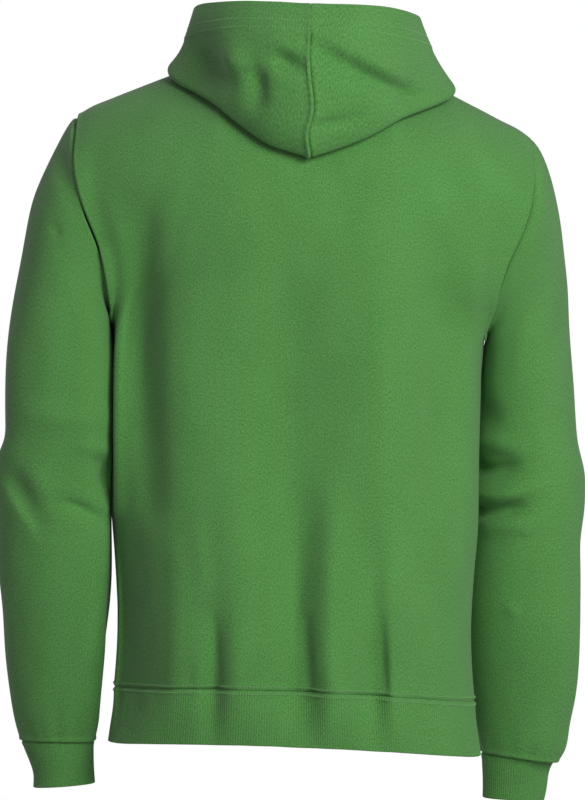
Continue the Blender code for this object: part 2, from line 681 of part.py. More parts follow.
def wall_faces(corners, rows, columns, wraps):
    """Faces of a closed wall: the outer grid, the inner grid after it, and the edges between."""
    count = rows * columns
    faces = []
    across = columns if wraps else columns - 1
    for i in range(rows - 1):
        for j in range(across):
            a, b = i * columns + j, i * columns + (j + 1) % columns
            outer = halves((a, b, b + columns, a + columns), corners)
            faces.extend(outer)
            faces.extend(tuple(k + count for k in face[::-1]) for face in outer)
    rim = []
    for j in range(across):
        k = (j + 1) % columns
        rim.append((k, j))
        rim.append(((rows - 1) * columns + j, (rows - 1) * columns + k))
    if not wraps:
        for i in range(rows - 1):
            rim.append((i * columns, (i + 1) * columns))
            rim.append(((i + 2) * columns - 1, (i + 1) * columns - 1))
    for a, b in rim:
        faces.extend(halves((a, b, b + count, a + count), corners))
    return faces


def cloth_wall(name, piece, material):
    """A closed wall on the piece's points, its seam edges drawn back by half a gap."""
    points, normals = piece["points"], piece["normals"]
    shift = np.zeros_like(points)
    for edge in piece["seams"]:
        if edge in ("first_row", "last_row"):
            i, step = (0, 1) if edge == "first_row" else (-1, -1)
            shift[i] += seam_shift(points[i], normals[i], points[i + step] - points[i])
        else:
            j, step = (0, 1) if edge == "first_column" else (-1, -1)
            shift[:, j] += seam_shift(points[:, j], normals[:, j], points[:, j + step] - points[:, j])
    rows, columns = points.shape[:2]
    sewn = np.concatenate([points.reshape(-1, 3), (points - normals * piece["wall"]).reshape(-1, 3)])
    faces = wall_faces(sewn, rows, columns, piece["wraps"])
    if piece["flip"] < 0:
        faces = [face[::-1] for face in faces]
    corners = sewn + np.concatenate([shift.reshape(-1, 3)] * 2)
    mesh = bpy.data.meshes.new(name)
    mesh.from_pydata([tuple(float(c) for c in corner) for corner in corners], [], faces)
    mesh.materials.append(material)
    mesh.update()
    cloth = bpy.data.objects.new(name, mesh)
    bpy.context.scene.collection.objects.link(cloth)
    return cloth


def plain_material(name, colour, roughness):
    material = bpy.data.materials.new(name)
    material.use_nodes = True
    shader = material.node_tree.nodes["Principled BSDF"]
    shader.inputs["Base Color"].default_value = colour
    shader.inputs["Roughness"].default_value = roughness
    return material


def build():
    for thing in list(bpy.data.objects):
        bpy.data.objects.remove(thing, do_unlink=True)
    back, front = panel_grid(1), panel_grid(-1)
    maps = {side: shoulder_map(side) for side in (1, -1)}
    sides = ["first_column", "last_column"]
    pieces = {
        "back_body": dict(points=back, wall=FLEECE_WALL, wraps=False, flip=-1,
                          seams=["first_row", "last_row", *sides]),
        "front_body": dict(points=front, wall=FLEECE_WALL, wraps=False, flip=1,
                           seams=["first_row", "last_row", *sides]),
        "hem_band": dict(points=band_grid(), wall=RIB_WALL, wraps=True, flip=1,
                         seams=["first_row"]),
    }
    for word, side_x, sleeve, cuff, hood in (
        ("left", 1, LEFT_SLEEVE, LEFT_CUFF, LEFT_HOOD),
        ("right", -1, RIGHT_SLEEVE, RIGHT_CUFF, RIGHT_HOOD),
    ):
        pieces[f"sleeve_{word}"] = dict(
            points=sleeve_grid(side_x, sleeve, back, front), wall=FLEECE_WALL, wraps=True,
            flip=-side_x, seams=["first_row", "last_row"],
        )
        pieces[f"cuff_{word}"] = dict(
            points=tube_grid(side_x, cuff, CUFF_ROWS)[0], wall=RIB_WALL, wraps=True,
            flip=-side_x, seams=["first_row"],
        )
        pieces[f"hood_{word}"] = dict(
            points=hood_half(side_x, hood, maps), wall=HOOD_WALL, wraps=False, flip=-side_x,
            seams=["first_row", "first_column", "last_column"],
        )
    shared_normals(pieces)
    for name, piece in pieces.items():
        cloth_wall(name, piece, plain_material(f"{name}_cloth", GREEN, 0.9))


build()
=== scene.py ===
"""The looks of a pullover hoodie worn with the hood down: fine cloth, seams, stitching and studio.

Frame: metres, +Z up, the wearer faces -Y, +X is the wearer's left, the origin is the middle of the neck.
The first half works out the garment's pieces from their cut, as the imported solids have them. The second
half makes each one a fine shell with its folds, seams, stitches and knit, and puts it in the studio.
"""

import itertools
import math
from dataclasses import dataclass, field

import bpy
import numpy as np
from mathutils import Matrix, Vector

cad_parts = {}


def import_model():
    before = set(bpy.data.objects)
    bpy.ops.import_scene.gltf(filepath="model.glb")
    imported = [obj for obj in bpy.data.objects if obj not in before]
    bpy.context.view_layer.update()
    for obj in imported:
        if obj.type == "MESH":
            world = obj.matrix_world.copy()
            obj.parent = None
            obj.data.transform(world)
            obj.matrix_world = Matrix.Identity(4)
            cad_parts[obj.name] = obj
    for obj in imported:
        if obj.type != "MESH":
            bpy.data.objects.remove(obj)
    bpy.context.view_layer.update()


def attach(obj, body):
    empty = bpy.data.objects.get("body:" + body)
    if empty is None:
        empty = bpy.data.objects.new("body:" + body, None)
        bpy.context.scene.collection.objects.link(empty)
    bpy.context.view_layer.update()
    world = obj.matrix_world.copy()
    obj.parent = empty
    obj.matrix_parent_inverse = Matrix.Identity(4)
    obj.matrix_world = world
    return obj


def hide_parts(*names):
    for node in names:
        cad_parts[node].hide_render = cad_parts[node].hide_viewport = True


MM = 0.001

# Cloth
FLEECE_WALL = 2.0 * MM  # body, sleeves
HOOD_WALL = 2.4 * MM
RIB_WALL = 3.0 * MM  # doubled rib of the hem band and the cuffs

# Grid of the cut: how many cells each piece has before it is made fine
HALF_COLUMNS = 18  # from the middle of the back or front to its side
NECK_COLUMNS = 8  # of those, how many lie under the neckline
SIDE_ROWS = 13  # from the hem seam to the armpit
ARMHOLE_ROWS = 12  # from the armpit to the shoulder tip
SLEEVE_STEPS = 24
BAND_ROWS = 3
CUFF_ROWS = 3

# Heights, from the neck
HEM_SEAM = -642 * MM
ARMPIT = -268 * MM
SHOULDER_TIP = -55 * MM
SHOULDER_WIDTH = 472 * MM

# Neck
NECK_HALF_WIDTH = 88.5 * MM
NECK_SIDE_HEIGHT = 12 * MM
NAPE_DEPTH, NAPE_HEIGHT = 70 * MM, -12 * MM
THROAT_DEPTH, THROAT_HEIGHT = -86 * MM, -72 * MM
NECK_DIP = {1: 1.5, -1: 2.2}  # above 1, the neckline leaves the side of the neck gently
RIDGE_DEPTH = -2 * MM  # the shoulder seam runs along the top of the shoulder
SHOULDER_DROP = 106.5 * MM  # how far below its top a shoulder has its full depth
NECK_DROP, NECK_DROP_LESS = 150 * MM, 20 * MM  # the same below the neckline, and less by its side


def table(columns, rows):
    """A table with named columns, in millimetres, a row a line, as {column: array in metres}."""
    values = np.array([row.split() for row in rows.strip().splitlines()], float) * MM
    return dict(zip(columns.split(), values.T))


# The body's plan at each height: half its width, how far it reaches back and forward at the middle, and
# where its widest point lies. Above the armpit, the width is where the armholes cut the plan short.
PLAN_COLUMNS = "height half_width back front side"
BODY = table(PLAN_COLUMNS, """
-642 187 121 -122 4
-628 186.5 127 -128 6
-600 183 127 -131 10
-560 183 124 -133 13
-520 185 121 -134 15
-450 190 118 -136 16
-380 190 119 -138 15
-320 190 123 -138 11
-268 193 127 -137 3
-240 197.5 129 -134 2
-211 204 130 -130 1
-180 214 130 -125 0
-143 230 127 -118 0
-100 237 121 -111 0
-57 236 114 -104 0
12 236 104 -98 0
""")
PLAN_POWER = 2.1  # 2 is an ellipse
ARMHOLE_BACK = 68 * MM
ARMHOLE_FRONT = 64 * MM
SPREAD_FROM = 0.55  # above this v, a panel's points spread towards the places along its top edge
# A panel's inner points are eased towards their neighbours this often and by this share, which dies out
# between two places up the rows. Its folds reach this share of the way to its sides.
SMOOTHING, EASED, EASED_TO = 5, 0.6, (0.78, 0.93)
FOLDED_TO = 0.97
FOLD_POINTS = 13  # along a fold's middle line
BAND_FLATTENS = 0.9  # how much of the body's folds the hem band loses on its way down
# The ridge line of the shoulder, from the neck to the tip.
RIDGE = table("width height", """
88.5 12
120 0
140 -8
171 -22
204 -37
223 -46
236 -55
""")
# The wearer stands with the weight on one leg: the body leans and the shoulders tip.
POSTURE = table("height lean slope", """
-760 15.5 38
-450 14.5 43
-340 13 45
-265 11 47
-210 7 49
-60 5 53
0 -1 64
30 -1 50
64 -1 34
""")
# Each sleeve from the armhole to its cuff: the outer and the inner line of its outline seen from
# behind, how far forward its middle hangs, and half its depth from front to back.
TUBE_COLUMNS = "outer_width outer_height inner_width inner_height middle half_depth"
LEFT_SLEEVE = table(TUBE_COLUMNS, """
236 -55 193 -268 2 66
244 -65 194.5 -263 2 69
256 -88 195 -264 2 71
268 -113 194.4 -269 3 72
280 -143 193.4 -279 4 72
288 -180 192.3 -293 6 71
294 -224 191.5 -311 7 70
299 -270 191 -333 8 68
302 -320 190.9 -359 8 66
302 -362 190.9 -382 7 64
301 -384 190.9 -398 6 63
309 -408 190.9 -414 4 62
311 -440 190.9 -438 2 61
310 -476 190.8 -473 -1 60
309 -517 190.8 -515 -6 58
304 -565 193.5 -561 -13 54
301 -616 199 -610 -22 49
296 -660 203 -653 -31 43
291 -688 205 -681 -37 39
286 -706 210 -702 -42 34
""")
RIGHT_SLEEVE = table(TUBE_COLUMNS, """
236 -55 193 -268 2 66
244 -64 194.5 -263 0 69
253 -82 195 -264 -4 71
261 -106 194 -269 -11 72
268 -137 192.3 -279 -18 72
273 -172 190.5 -292 -26 71
278 -212 189 -310 -32 70
283 -256 187.8 -332 -37 68
289 -300 186.5 -354 -40 66
293 -346 185.5 -379 -44 64
297 -374 185 -394 -46 63
303 -399 184 -408 -48 62
305 -436 184 -438 -51 61
301 -458 183 -458 -53 60
300 -493 180 -491 -57 59
298 -536 177 -534 -62 56
296 -581 178 -577 -68 52
295 -622 181 -615 -75 47
288 -659 186 -650 -81 42
283 -692 193 -684 -86 38
275 -708 198 -703 -89 34
""")
LEFT_CUFF = table(TUBE_COLUMNS, """
286 -706 210 -702 -42 34
281 -719 210 -715 -44 32
274 -739 210 -731 -48 30
274 -755 209 -748 -51 29
""")
RIGHT_CUFF = table(TUBE_COLUMNS, """
275 -708 198 -703 -89 34
270 -720 199 -717 -91 32
268 -736 200 -734 -95 30
265 -753 200 -752 -99 29
""")
BAND = table(PLAN_COLUMNS, """
-642 187 121 -122 4
-655 187.5 122 -122 3
-678 190.5 120 -121 2
-699 193.5 116 -118 2
""")
# How square the left sleeve's section is where the arm presses it against the body, and where the
# elbow fills it on the outer side, 1 being an ellipse; the rows of its table where that sets in; those
# where it ends, for the pressed side counted back from the cuff; and the cosines of its turn.
PRESSED, PRESSED_FROM, PRESSED_END, PRESSED_SIDE = 0.5, (2.5, 6), (0, 2), (0.3, -0.6)
FILLED, FILLED_FROM, FILLED_END, FILLED_SIDE = 0.72, (5, 9), (10, 14), (0.3, 0.9)
SLEEVE_SETTLED = 6  # by this row, a sleeve that started on the armhole's own line has its own rings
# Behind the line where it touches the body, that sleeve leans over the body's side.
OVERLAP, OVERLAP_STEPS, OVERLAP_DEPTHS = 4 * MM, (1.5, 4), (12 * MM, 42 * MM)
OVERLAP_SIDE = (0, -0.6)
HEM_LIFT = 9 * MM  # the hem rides this much higher at the middle of the back
# Each half of the hood from the middle of the back (0) to the throat (1000): how steeply it leaves the
# neck seam, in degrees; where on the body its lowest fold lies, by how far out and how far back; how
# round that fold is, how far it turns, in degrees, and how far the cloth carries on past it; then the
# rim, and how far below it the cloth hangs out and down.
HOOD_COLUMNS = "station slope fold_width fold_depth radius turn carry rim_x rim_y rim_z hang_out hang_down"
LEFT_HOOD = table(HOOD_COLUMNS, """
0 55 0 113 7 100 30 0 126 62.5 34 44
125 51 37 107 7 104 28 37 121 63.5 31 42
250 45 72 93 6 110 24 74 104 64.5 26 38
375 36 112 54 5 135 18 104 71 64.5 18 34
500 28 140 17 4.4 148 20 119 28 61 14 40
625 30 124 -32 5 130 12 114 -24 40 8 24
750 36 88 -66 6 115 12 90 -66 6 8 22
875 50 46 -88 6 115 10 50 -94 -28 6 18
1000 62 4 -97 6 115 8 3 -110 -48 4 14
""")
RIGHT_HOOD = table(HOOD_COLUMNS, """
0 55 0 113 7 100 30 0 126 62.5 34 44
125 51 37 107 7 104 28 37 121 63.5 31 42
250 45 74 97 6 110 24 70 104 64 26 38
375 36 115 60 5 130 16 100 71 62.5 18 34
500 28 145 18 4.4 145 18 113 28 59 18 36
625 30 126 -32 5 130 12 112 -24 38 10 24
750 36 88 -66 6 115 12 90 -66 6 8 22
875 50 46 -88 6 115 10 50 -94 -28 6 18
1000 62 4 -97 6 115 8 3 -110 -48 4 14
""")
HOOD_STAND = 5 * MM  # how far the hood stands up from the neck seam before it rolls over
HOOD_ROLL = 4 * MM  # radius of that roll
HOOD_CLEAR = 4 * MM  # how far the lowest fold lies off the body
HOOD_SAG = 3 * MM  # how far the hidden layer arches away from the body on its way there
RIDGE_REACH = 20 * MM  # this near the shoulder seam, the body faces neither forward nor back
MAP_ACROSS, MAP_DOWN = (0.9, 451), (0.7, 701)  # how far the map of a shoulder goes, in so many points
HOOD_SMOOTHING = 4  # how many times the lowest fold's directions are evened out
HOOD_CELLS = {"roll": 4, "under": 5, "fold": 5, "outer": 9}

# Folds: the middle line runs from a start through a middle to an end, in the garment as it hangs; then
# the width from crest to foot, and how far it stands out (or in, negative) at those three places.
FOLD_COLUMNS = "start_x start_z middle_x middle_z end_x end_z width start_rise middle_rise end_rise"
BACK_FOLDS = table(FOLD_COLUMNS, """
213 -150 204 -280 203 -470 16 13 22 6
168 -160 167 -290 161 -440 15 -5 -12 -8
126 -190 128 -330 126 -590 42 3 10 7
194 -440 192 -550 190 -640 26 -4 -18 -18
138 -480 136 -560 134 -640 16 2 5 4
73 -390 71 -520 70 -640 26 2 8 8
98 -540 97 -590 95 -640 10 -1 -6 -11
-76 -170 -78 -340 -70 -560 34 3 13 8
20 -150 20 -330 18 -480 36 -2 -10 -6
-23 -440 -20 -550 -23 -636 20 3 11 12
6 -440 11 -550 8 -636 16 -5 -15 -15
-64 -480 -64 -570 -63 -640 12 -2 -8 -12
-90 -470 -88 -560 -86 -640 16 1 5 6
-132 -180 -134 -300 -130 -430 22 -3 -8 -5
-172 -150 -172 -250 -168 -400 18 1 5 2
""")
FRONT_FOLDS = table(FOLD_COLUMNS, """
-178 -150 -168 -300 -150 -430 16 3 6 3
172 -150 160 -290 158 -420 18 -3 -7 -2
60 -360 54 -500 58 -640 24 1 6 5
22 -420 14 -540 16 -636 18 -2 -7 -9
-66 -380 -58 -520 -62 -636 20 -2 -6 -8
-104 -200 -112 -380 -100 -560 26 2 5 2
""")
SLEEVE_FOLDS = table(FOLD_COLUMNS, """
324 -420 305 -450 286 -478 8 1 2 1
312 -408 296 -434 279 -462 13 -2 -5 -3
296 -400 280 -422 262 -446 12 0 2 0
212 -404 206 -418 206 -432 9 -6 -9 -4
256 -444 234 -450 212 -462 8 -2 -4 -3
286 -350 250 -358 216 -356 13 2 3 2
-176 -382 -194 -382 -214 -386 10 3 4 1
-174 -409 -196 -410 -224 -402 9 -9 -9 -1
-176 -436 -204 -436 -242 -426 9 5 7 2
-176 -455 -204 -453 -228 -446 7 -6 -7 -1
-190 -472 -214 -469 -236 -466 9 2 4 1
""")
HOOD_FOLDS = table(FOLD_COLUMNS, """
-4 23 -43 9 -82 -10 12 3 8 5
-8 7 -50 -8 -96 -27 12 -4 -9 -7
40 4 22 0 6 -8 9 -3 -8 -4
44 20 28 17 8 9 10 1 3 1
57 0 56 -16 54 -36 10 -3 -7 -5
82 26 75 6 70 -8 13 2 7 2
122 30 106 8 86 -14 15 -6 -11 -4
""")


# --- Smooth lines through tables ---


def smooth(knots, values, at):
    """A smooth line through (knots, values) that never overshoots, read at `at` and held past its ends."""
    x, y = np.asarray(knots, float), np.asarray(values, float)
    if x[0] > x[-1]:
        x, y = x[::-1], y[::-1]
    step = np.diff(x)
    slope = np.diff(y) / step
    before, after = slope[:-1], slope[1:]
    turning = before * after <= 0
    weight_a, weight_b = 2 * step[1:] + step[:-1], step[1:] + 2 * step[:-1]
    harmonic = (weight_a + weight_b) / (
        weight_a / np.where(turning, 1, before) + weight_b / np.where(turning, 1, after)
    )
    tangent = np.concatenate([slope[:1], np.where(turning, 0, harmonic), slope[-1:]])
    at = np.clip(at, x[0], x[-1])
    i = np.clip(np.searchsorted(x, at, side="right") - 1, 0, len(step) - 1)
    t, h = (at - x[i]) / step[i], step[i]
    return (
        (2 * t**3 - 3 * t**2 + 1) * y[i]
        + (t**3 - 2 * t**2 + t) * h * tangent[i]
        + (3 * t**2 - 2 * t**3) * y[i + 1]
        + (t**3 - t**2) * h * tangent[i + 1]
    )


def ramp(low, high, at):
    """0 below low, 1 above high, and smooth between."""
    t = np.clip((at - low) / (high - low), 0, 1)
    return t * t * (3 - 2 * t)


def swell(distance, reach):
    """1 at no distance, dying out over this reach."""
    return np.exp(-((distance / reach) ** 2))


def unit(vectors):
    return vectors / np.maximum(np.linalg.norm(vectors, axis=-1, keepdims=True), 1e-12)


def posed(points):
    """The points as the wearer's stance carries them."""
    x, y, z = np.moveaxis(points, -1, 0)
    lean = smooth(POSTURE["height"], POSTURE["lean"], z)
    slope = smooth(POSTURE["height"], POSTURE["slope"], z)
    return np.stack([x + lean, y, z + slope * x], axis=-1)


def relief(folds, points):
    """How far the folds carry the cloth in or out, by where each point is seen from behind."""
    place = points[..., [0, 2]]
    steps = np.linspace(0, 1, FOLD_POINTS)
    shares = np.stack([(1 - steps) * (1 - 2 * steps), 4 * steps * (1 - steps), steps * (2 * steps - 1)]).T
    total = np.zeros(place.shape[:-1])
    for *spots, width, start_rise, middle_rise, end_rise in zip(*folds.values()):
        rises = start_rise, middle_rise, end_rise
        line = shares @ np.reshape(spots, (3, 2))
        nearest = np.full(total.shape, np.inf)
        rise = np.zeros(total.shape)
        for k, (a, b) in enumerate(zip(line[:-1], line[1:])):
            along = np.clip((place - a) @ (b - a) / ((b - a) @ (b - a)), 0, 1)
            away = np.linalg.norm(place - a - along[..., None] * (b - a), axis=-1)
            at = smooth([0, 0.5, 1], rises, steps[k] + along * (steps[k + 1] - steps[k]))
            rise = np.where(away < nearest, at, rise)
            nearest = np.minimum(away, nearest)
        total += rise * swell(nearest, width)
    return total


# --- Body ---


def neck_share(across):
    """0 at the middle of a panel to 1 at the side of the neck, and past 1 along the shoulder."""
    return across * HALF_COLUMNS / NECK_COLUMNS


def panel_top(side, across):
    """The top edge of a panel, x, y and z, at `across` from 0 (middle) to 1 (shoulder tip)."""
    share = neck_share(across)
    angle = np.clip(share, 0, 1) * math.pi / 2
    past = np.clip((share - 1) / (HALF_COLUMNS / NECK_COLUMNS - 1), 0, 1)
    shoulder_x = NECK_HALF_WIDTH + past * (SHOULDER_WIDTH / 2 - NECK_HALF_WIDTH)
    x = np.where(share < 1, NECK_HALF_WIDTH * np.sin(angle), shoulder_x)
    depth, height = (NAPE_DEPTH, NAPE_HEIGHT) if side > 0 else (THROAT_DEPTH, THROAT_HEIGHT)
    y = RIDGE_DEPTH + (depth - RIDGE_DEPTH) * np.cos(angle)
    dip = np.maximum(np.cos(angle), 0) ** NECK_DIP[side]
    neck_z = NECK_SIDE_HEIGHT + (height - NECK_SIDE_HEIGHT) * dip
    ridge_z = smooth(RIDGE["width"], RIDGE["height"], shoulder_x)
    return x, y, np.where(share < 1, neck_z, ridge_z)


def hem_lift(side, share):
    """How much higher the hem rides than at the side seams."""
    return HEM_LIFT * (1 - share**2) if side > 0 else 0 * share


def shoulder_shape(across):
    """How far below its top edge a panel has its full depth, and how round it is on the way, 0 to 1."""
    share = neck_share(across)
    past = ramp(1, HALF_COLUMNS / NECK_COLUMNS, share)
    drop = NECK_DROP - NECK_DROP_LESS * ramp(0, 1, share)
    return drop + (SHOULDER_DROP - drop) * past, past


def plan_depth(width, depth, x):
    """How deep the plan curve is at x, as a share of `depth`."""
    return depth * np.maximum(1 - np.clip(x / width, 0, 1) ** PLAN_POWER, 0) ** (1 / PLAN_POWER)


def panel(side, u, v):
    """A point of the back (side 1) or front (side -1) at u from -1 to 1 across and v from 0, the hem
    seam, to 1, the neckline and shoulder seam."""
    across = np.abs(u)
    top_x, top_y, top_z = panel_top(side, across)
    edge_z = HEM_SEAM + (SHOULDER_TIP - HEM_SEAM) * v
    edge_x = smooth(BODY["height"], BODY["half_width"], edge_z)
    seam_y = smooth(BODY["height"], BODY["side"], edge_z)
    depth = smooth(BODY["height"], BODY["back" if side > 0 else "front"], edge_z) - seam_y
    middle_height = 0.5 * (ARMPIT + SHOULDER_TIP)
    half_height = 0.5 * (SHOULDER_TIP - ARMPIT)
    below_middle = np.clip((middle_height - edge_z) / half_height, 0, 1)
    reach = (ARMHOLE_BACK if side > 0 else ARMHOLE_FRONT) * np.sqrt(1 - below_middle**2)
    first_turn = np.arcsin(np.clip(reach / np.abs(depth), 0, 1) ** (PLAN_POWER / 2))
    turn = math.pi / 2 - (math.pi / 2 - first_turn) * across
    width = edge_x / np.cos(first_turn) ** (2 / PLAN_POWER)
    round_x = width * np.maximum(np.cos(turn), 0) ** (2 / PLAN_POWER)
    spread = ramp(SPREAD_FROM, 1, v)
    x = (1 - spread) * round_x + spread * edge_x * top_x / (SHOULDER_WIDTH / 2)
    hem_z = HEM_SEAM + hem_lift(side, np.sin(across * math.pi / 2))
    z = hem_z + (top_z - hem_z) * v
    full_y = seam_y + plan_depth(width, depth, x)
    drop, roundness = shoulder_shape(across)
    down = np.clip((top_z - z) / drop, 0, 1)
    rounding = (1 - (1 - down) ** 2) ** (1 / (1 + roundness))
    y = top_y + (full_y - top_y) * rounding
    return np.stack([x * np.sign(u), y, z], axis=-1)


def panel_rows():
    """The v of each row: even to the armpit, then as the armhole's arc needs."""
    armpit = (ARMPIT - HEM_SEAM) / (SHOULDER_TIP - HEM_SEAM)
    low = np.linspace(0, armpit, SIDE_ROWS + 1)
    turn = 0.5 - 0.5 * np.cos(np.linspace(0, math.pi, ARMHOLE_ROWS + 1))
    return np.concatenate([low, (armpit + (1 - armpit) * turn)[1:]])


def body_relief(side, points, share):
    """The folds of the back or front, which die out at the side seams and the armholes."""
    folds = BACK_FOLDS if side > 0 else FRONT_FOLDS
    return side * relief(folds, points) * (1 - ramp(FOLDED_TO, 1, share))


def eased(points, rows):
    """The points, moved towards the middles of their neighbours, but for those near the top edge."""
    share = EASED * (1 - ramp(*EASED_TO, rows))[1:-1, None, None]
    for _ in range(SMOOTHING):
        middle = (points[:-2, 1:-1] + points[2:, 1:-1] + points[1:-1, :-2] + points[1:-1, 2:]) / 4
        points[1:-1, 1:-1] += share * (middle - points[1:-1, 1:-1])
    return points


def panel_grid(side):
    u = np.linspace(-1, 1, 2 * HALF_COLUMNS + 1)
    rows = panel_rows()
    points = posed(eased(panel(side, *np.broadcast_arrays(u[None, :], rows[:, None])), rows))
    points[..., 1] += body_relief(side, points, np.sin(np.abs(u) * math.pi / 2)[None, :])
    return points


# --- Rings: hem band, sleeves and cuffs ---


def band_grid():
    """The hem band, from the seam down. Its columns follow the back from right to left, then the front."""
    u = np.linspace(-1, 1, 2 * HALF_COLUMNS + 1)
    share = np.sin(np.abs(u) * math.pi / 2)
    rows = np.linspace(BAND["height"][0], BAND["height"][-1], BAND_ROWS + 1)[:, None]
    width, back, front, seam_y = (
        smooth(BAND["height"], BAND[name], rows) for name in ("half_width", "back", "front", "side")
    )
    halves = []
    for side, depth in ((1, back), (-1, front)):
        x = width * share ** (2 / PLAN_POWER)
        y = seam_y + plan_depth(width, depth - seam_y, x)
        half = posed(np.stack([x * np.sign(u), y, rows + hem_lift(side, share)], axis=-1))
        fade = 1 - BAND_FLATTENS * (rows - rows[0]) / (rows[-1] - rows[0])
        at_seam = np.broadcast_to(half[:1], half.shape)
        half[..., 1] += body_relief(side, at_seam, share) * fade
        halves.append(half)
    return np.concatenate([halves[0], halves[1][:, -2:0:-1]], axis=1)


def ring(sizes, step, turn, squareness=1.0):
    """A point of a tube: step along its table's rows, and turn from 0, outward, by the back."""
    at = {name: smooth(np.arange(len(column)), column, step) for name, column in sizes.items()}
    outer, inner = (
        np.stack([at[f"{line}_width"], np.zeros_like(step), at[f"{line}_height"]], axis=-1)
        for line in ("outer", "inner")
    )
    points = (outer + inner) / 2 + (outer - inner) / 2 * np.cos(turn)[..., None]
    rise = np.abs(np.sin(turn)) ** squareness * np.sign(np.sin(turn))
    points[..., 1] += at["middle"] + at["half_depth"] * rise
    return points


def left_squareness(step, turn):
    """The power that squares the left sleeve's section, below 1 where the arm fills or presses it."""
    by_body = ramp(*PRESSED_SIDE, np.cos(turn)) * ramp(*PRESSED_FROM, step)
    by_body = by_body * ramp(*PRESSED_END, step[-1] - step)
    outside = ramp(*FILLED_SIDE, np.cos(turn)) * ramp(*FILLED_FROM, step)
    outside = outside * (1 - ramp(*FILLED_END, step))
    return 1 - (1 - PRESSED) * by_body - (1 - FILLED) * outside


def armhole(side_x, back, front):
    """The armhole's edge, as the two panels end there, from the shoulder tip by the back to the armpit."""
    column = -1 if side_x > 0 else 0
    behind = back[: SIDE_ROWS - 1 : -1, column]
    return np.concatenate([behind, front[SIDE_ROWS + 1 : -1, column]])


def tube_grid(side_x, sizes, steps, squareness=None):
    """A sleeve or cuff as rings, each from its outer line by the back."""
    step = np.linspace(0, len(sizes["middle"]) - 1, steps + 1)[:, None]
    turn = np.arange(2 * ARMHOLE_ROWS)[None, :] * math.pi / ARMHOLE_ROWS
    step, turn = np.broadcast_arrays(step, turn)
    points = ring(sizes, step, turn, 1 if squareness is None else squareness(step, turn))
    points[..., 0] *= side_x
    return posed(points), step, turn


def sleeve_grid(side_x, sizes, back, front):
    """A sleeve, which starts on the armhole's own line and settles into round rings."""
    squareness = left_squareness if side_x > 0 else None
    points, step, turn = tube_grid(side_x, sizes, SLEEVE_STEPS, squareness)
    if side_x > 0:
        behind = ramp(*OVERLAP_DEPTHS, points[..., 1]) * ramp(*OVERLAP_SIDE, np.cos(turn))
        points[..., 0] -= OVERLAP * behind * ramp(*OVERLAP_STEPS, step)
    off = armhole(side_x, back, front) - points[0]
    return points + off * (1 - ramp(0, SLEEVE_SETTLED, step))[..., None]


# --- Hood ---


def shoulder_map(side):
    """A fine grid of the back's or front's upper part: its u, v and points."""
    u, down = np.linspace(0, *MAP_ACROSS)[:, None], np.linspace(0, *MAP_DOWN)[None, :]
    v = 1 - shoulder_shape(u)[0] * down / (panel_top(side, u)[2] - HEM_SEAM)
    u, v = np.broadcast_arrays(u, v)
    return u, v, panel(side, u, v)


def body_place(maps, width, depth):
    """The body's point this far out and this far back, and its outward direction."""
    side = 1 if depth >= RIDGE_DEPTH else -1
    u, v, points = maps[side]
    away = (points[..., 0] - width) ** 2 + (points[..., 1] - depth) ** 2
    best = np.unravel_index(np.argmin(away), away.shape)
    step_u, step_v = 2e-3, 1e-4
    u, v = u[best], min(v[best], 1 - step_u)
    across = panel(side, u + step_u, v) - panel(side, u - step_u, v)
    up = panel(side, u, v + step_v) - panel(side, u, v - step_v)
    normal = unit(np.cross(up, across)) * side
    normal[1] *= ramp(0, RIDGE_REACH, abs(depth - RIDGE_DEPTH))
    return points[best], unit(normal)


def cells(stretch, end=1):
    """Even places from 0 to end, without the 0, for one stretch of the hood's section."""
    return np.linspace(0, end, HOOD_CELLS[stretch] + 1)[1:, None]


def bezier(stretch, first, second, third, fourth):
    t = cells(stretch)
    near = first * (1 - t) ** 3 + second * 3 * t * (1 - t) ** 2
    return near + third * 3 * t**2 * (1 - t) + fourth * t**3


def arc(stretch, start, ahead, up, radius, turn):
    """Points round an arc that sets off ahead and turns up."""
    turns = cells(stretch, turn)
    return start + ahead * radius * np.sin(turns) + up * radius * (1 - np.cos(turns))


def hood_section(j, at, place, off_body):
    """The hood's cut through one column of the neck seam, from the seam to the rim."""
    columns = 2 * NECK_COLUMNS
    seam = panel(1 if j <= NECK_COLUMNS else -1, min(j, columns - j) / HALF_COLUMNS, 1.0)
    angle = math.pi * j / columns
    outward, upward = unit(np.array([math.sin(angle), math.cos(angle), 0.0])), np.array([0, 0, 1.0])
    slope = math.radians(at["slope"] / MM)
    ahead = outward * math.cos(slope) - upward * math.sin(slope)
    off = outward * math.sin(slope) + upward * math.cos(slope)
    stand = seam - ahead * HOOD_STAND
    roll = arc("roll", stand, -ahead, off, HOOD_ROLL, math.pi)
    on_body = place - seam
    on_body = unit(on_body - off_body * np.dot(on_body, off_body))
    landing = place + off_body * HOOD_CLEAR
    length = np.linalg.norm(landing - roll[-1]) / 3
    leave = roll[-1] + ahead * length + off * HOOD_SAG
    arrive = landing - on_body * length + off_body * HOOD_SAG
    under = bezier("under", roll[-1], leave, arrive, landing)
    turn = math.radians(at["turn"] / MM)
    fold = arc("fold", landing, on_body, off_body, at["radius"], turn)
    heading = on_body * math.cos(turn) + off_body * math.sin(turn)
    rim = np.array([at["rim_x"], at["rim_y"], at["rim_z"]])
    hang = unit(off_body * np.array([1, 1, 0])) * at["hang_out"] - upward * at["hang_down"]
    outer = bezier("outer", fold[-1], fold[-1] + heading * at["carry"], rim + hang, rim)
    return np.concatenate([seam[None], stand[None], roll, under, fold, outer])


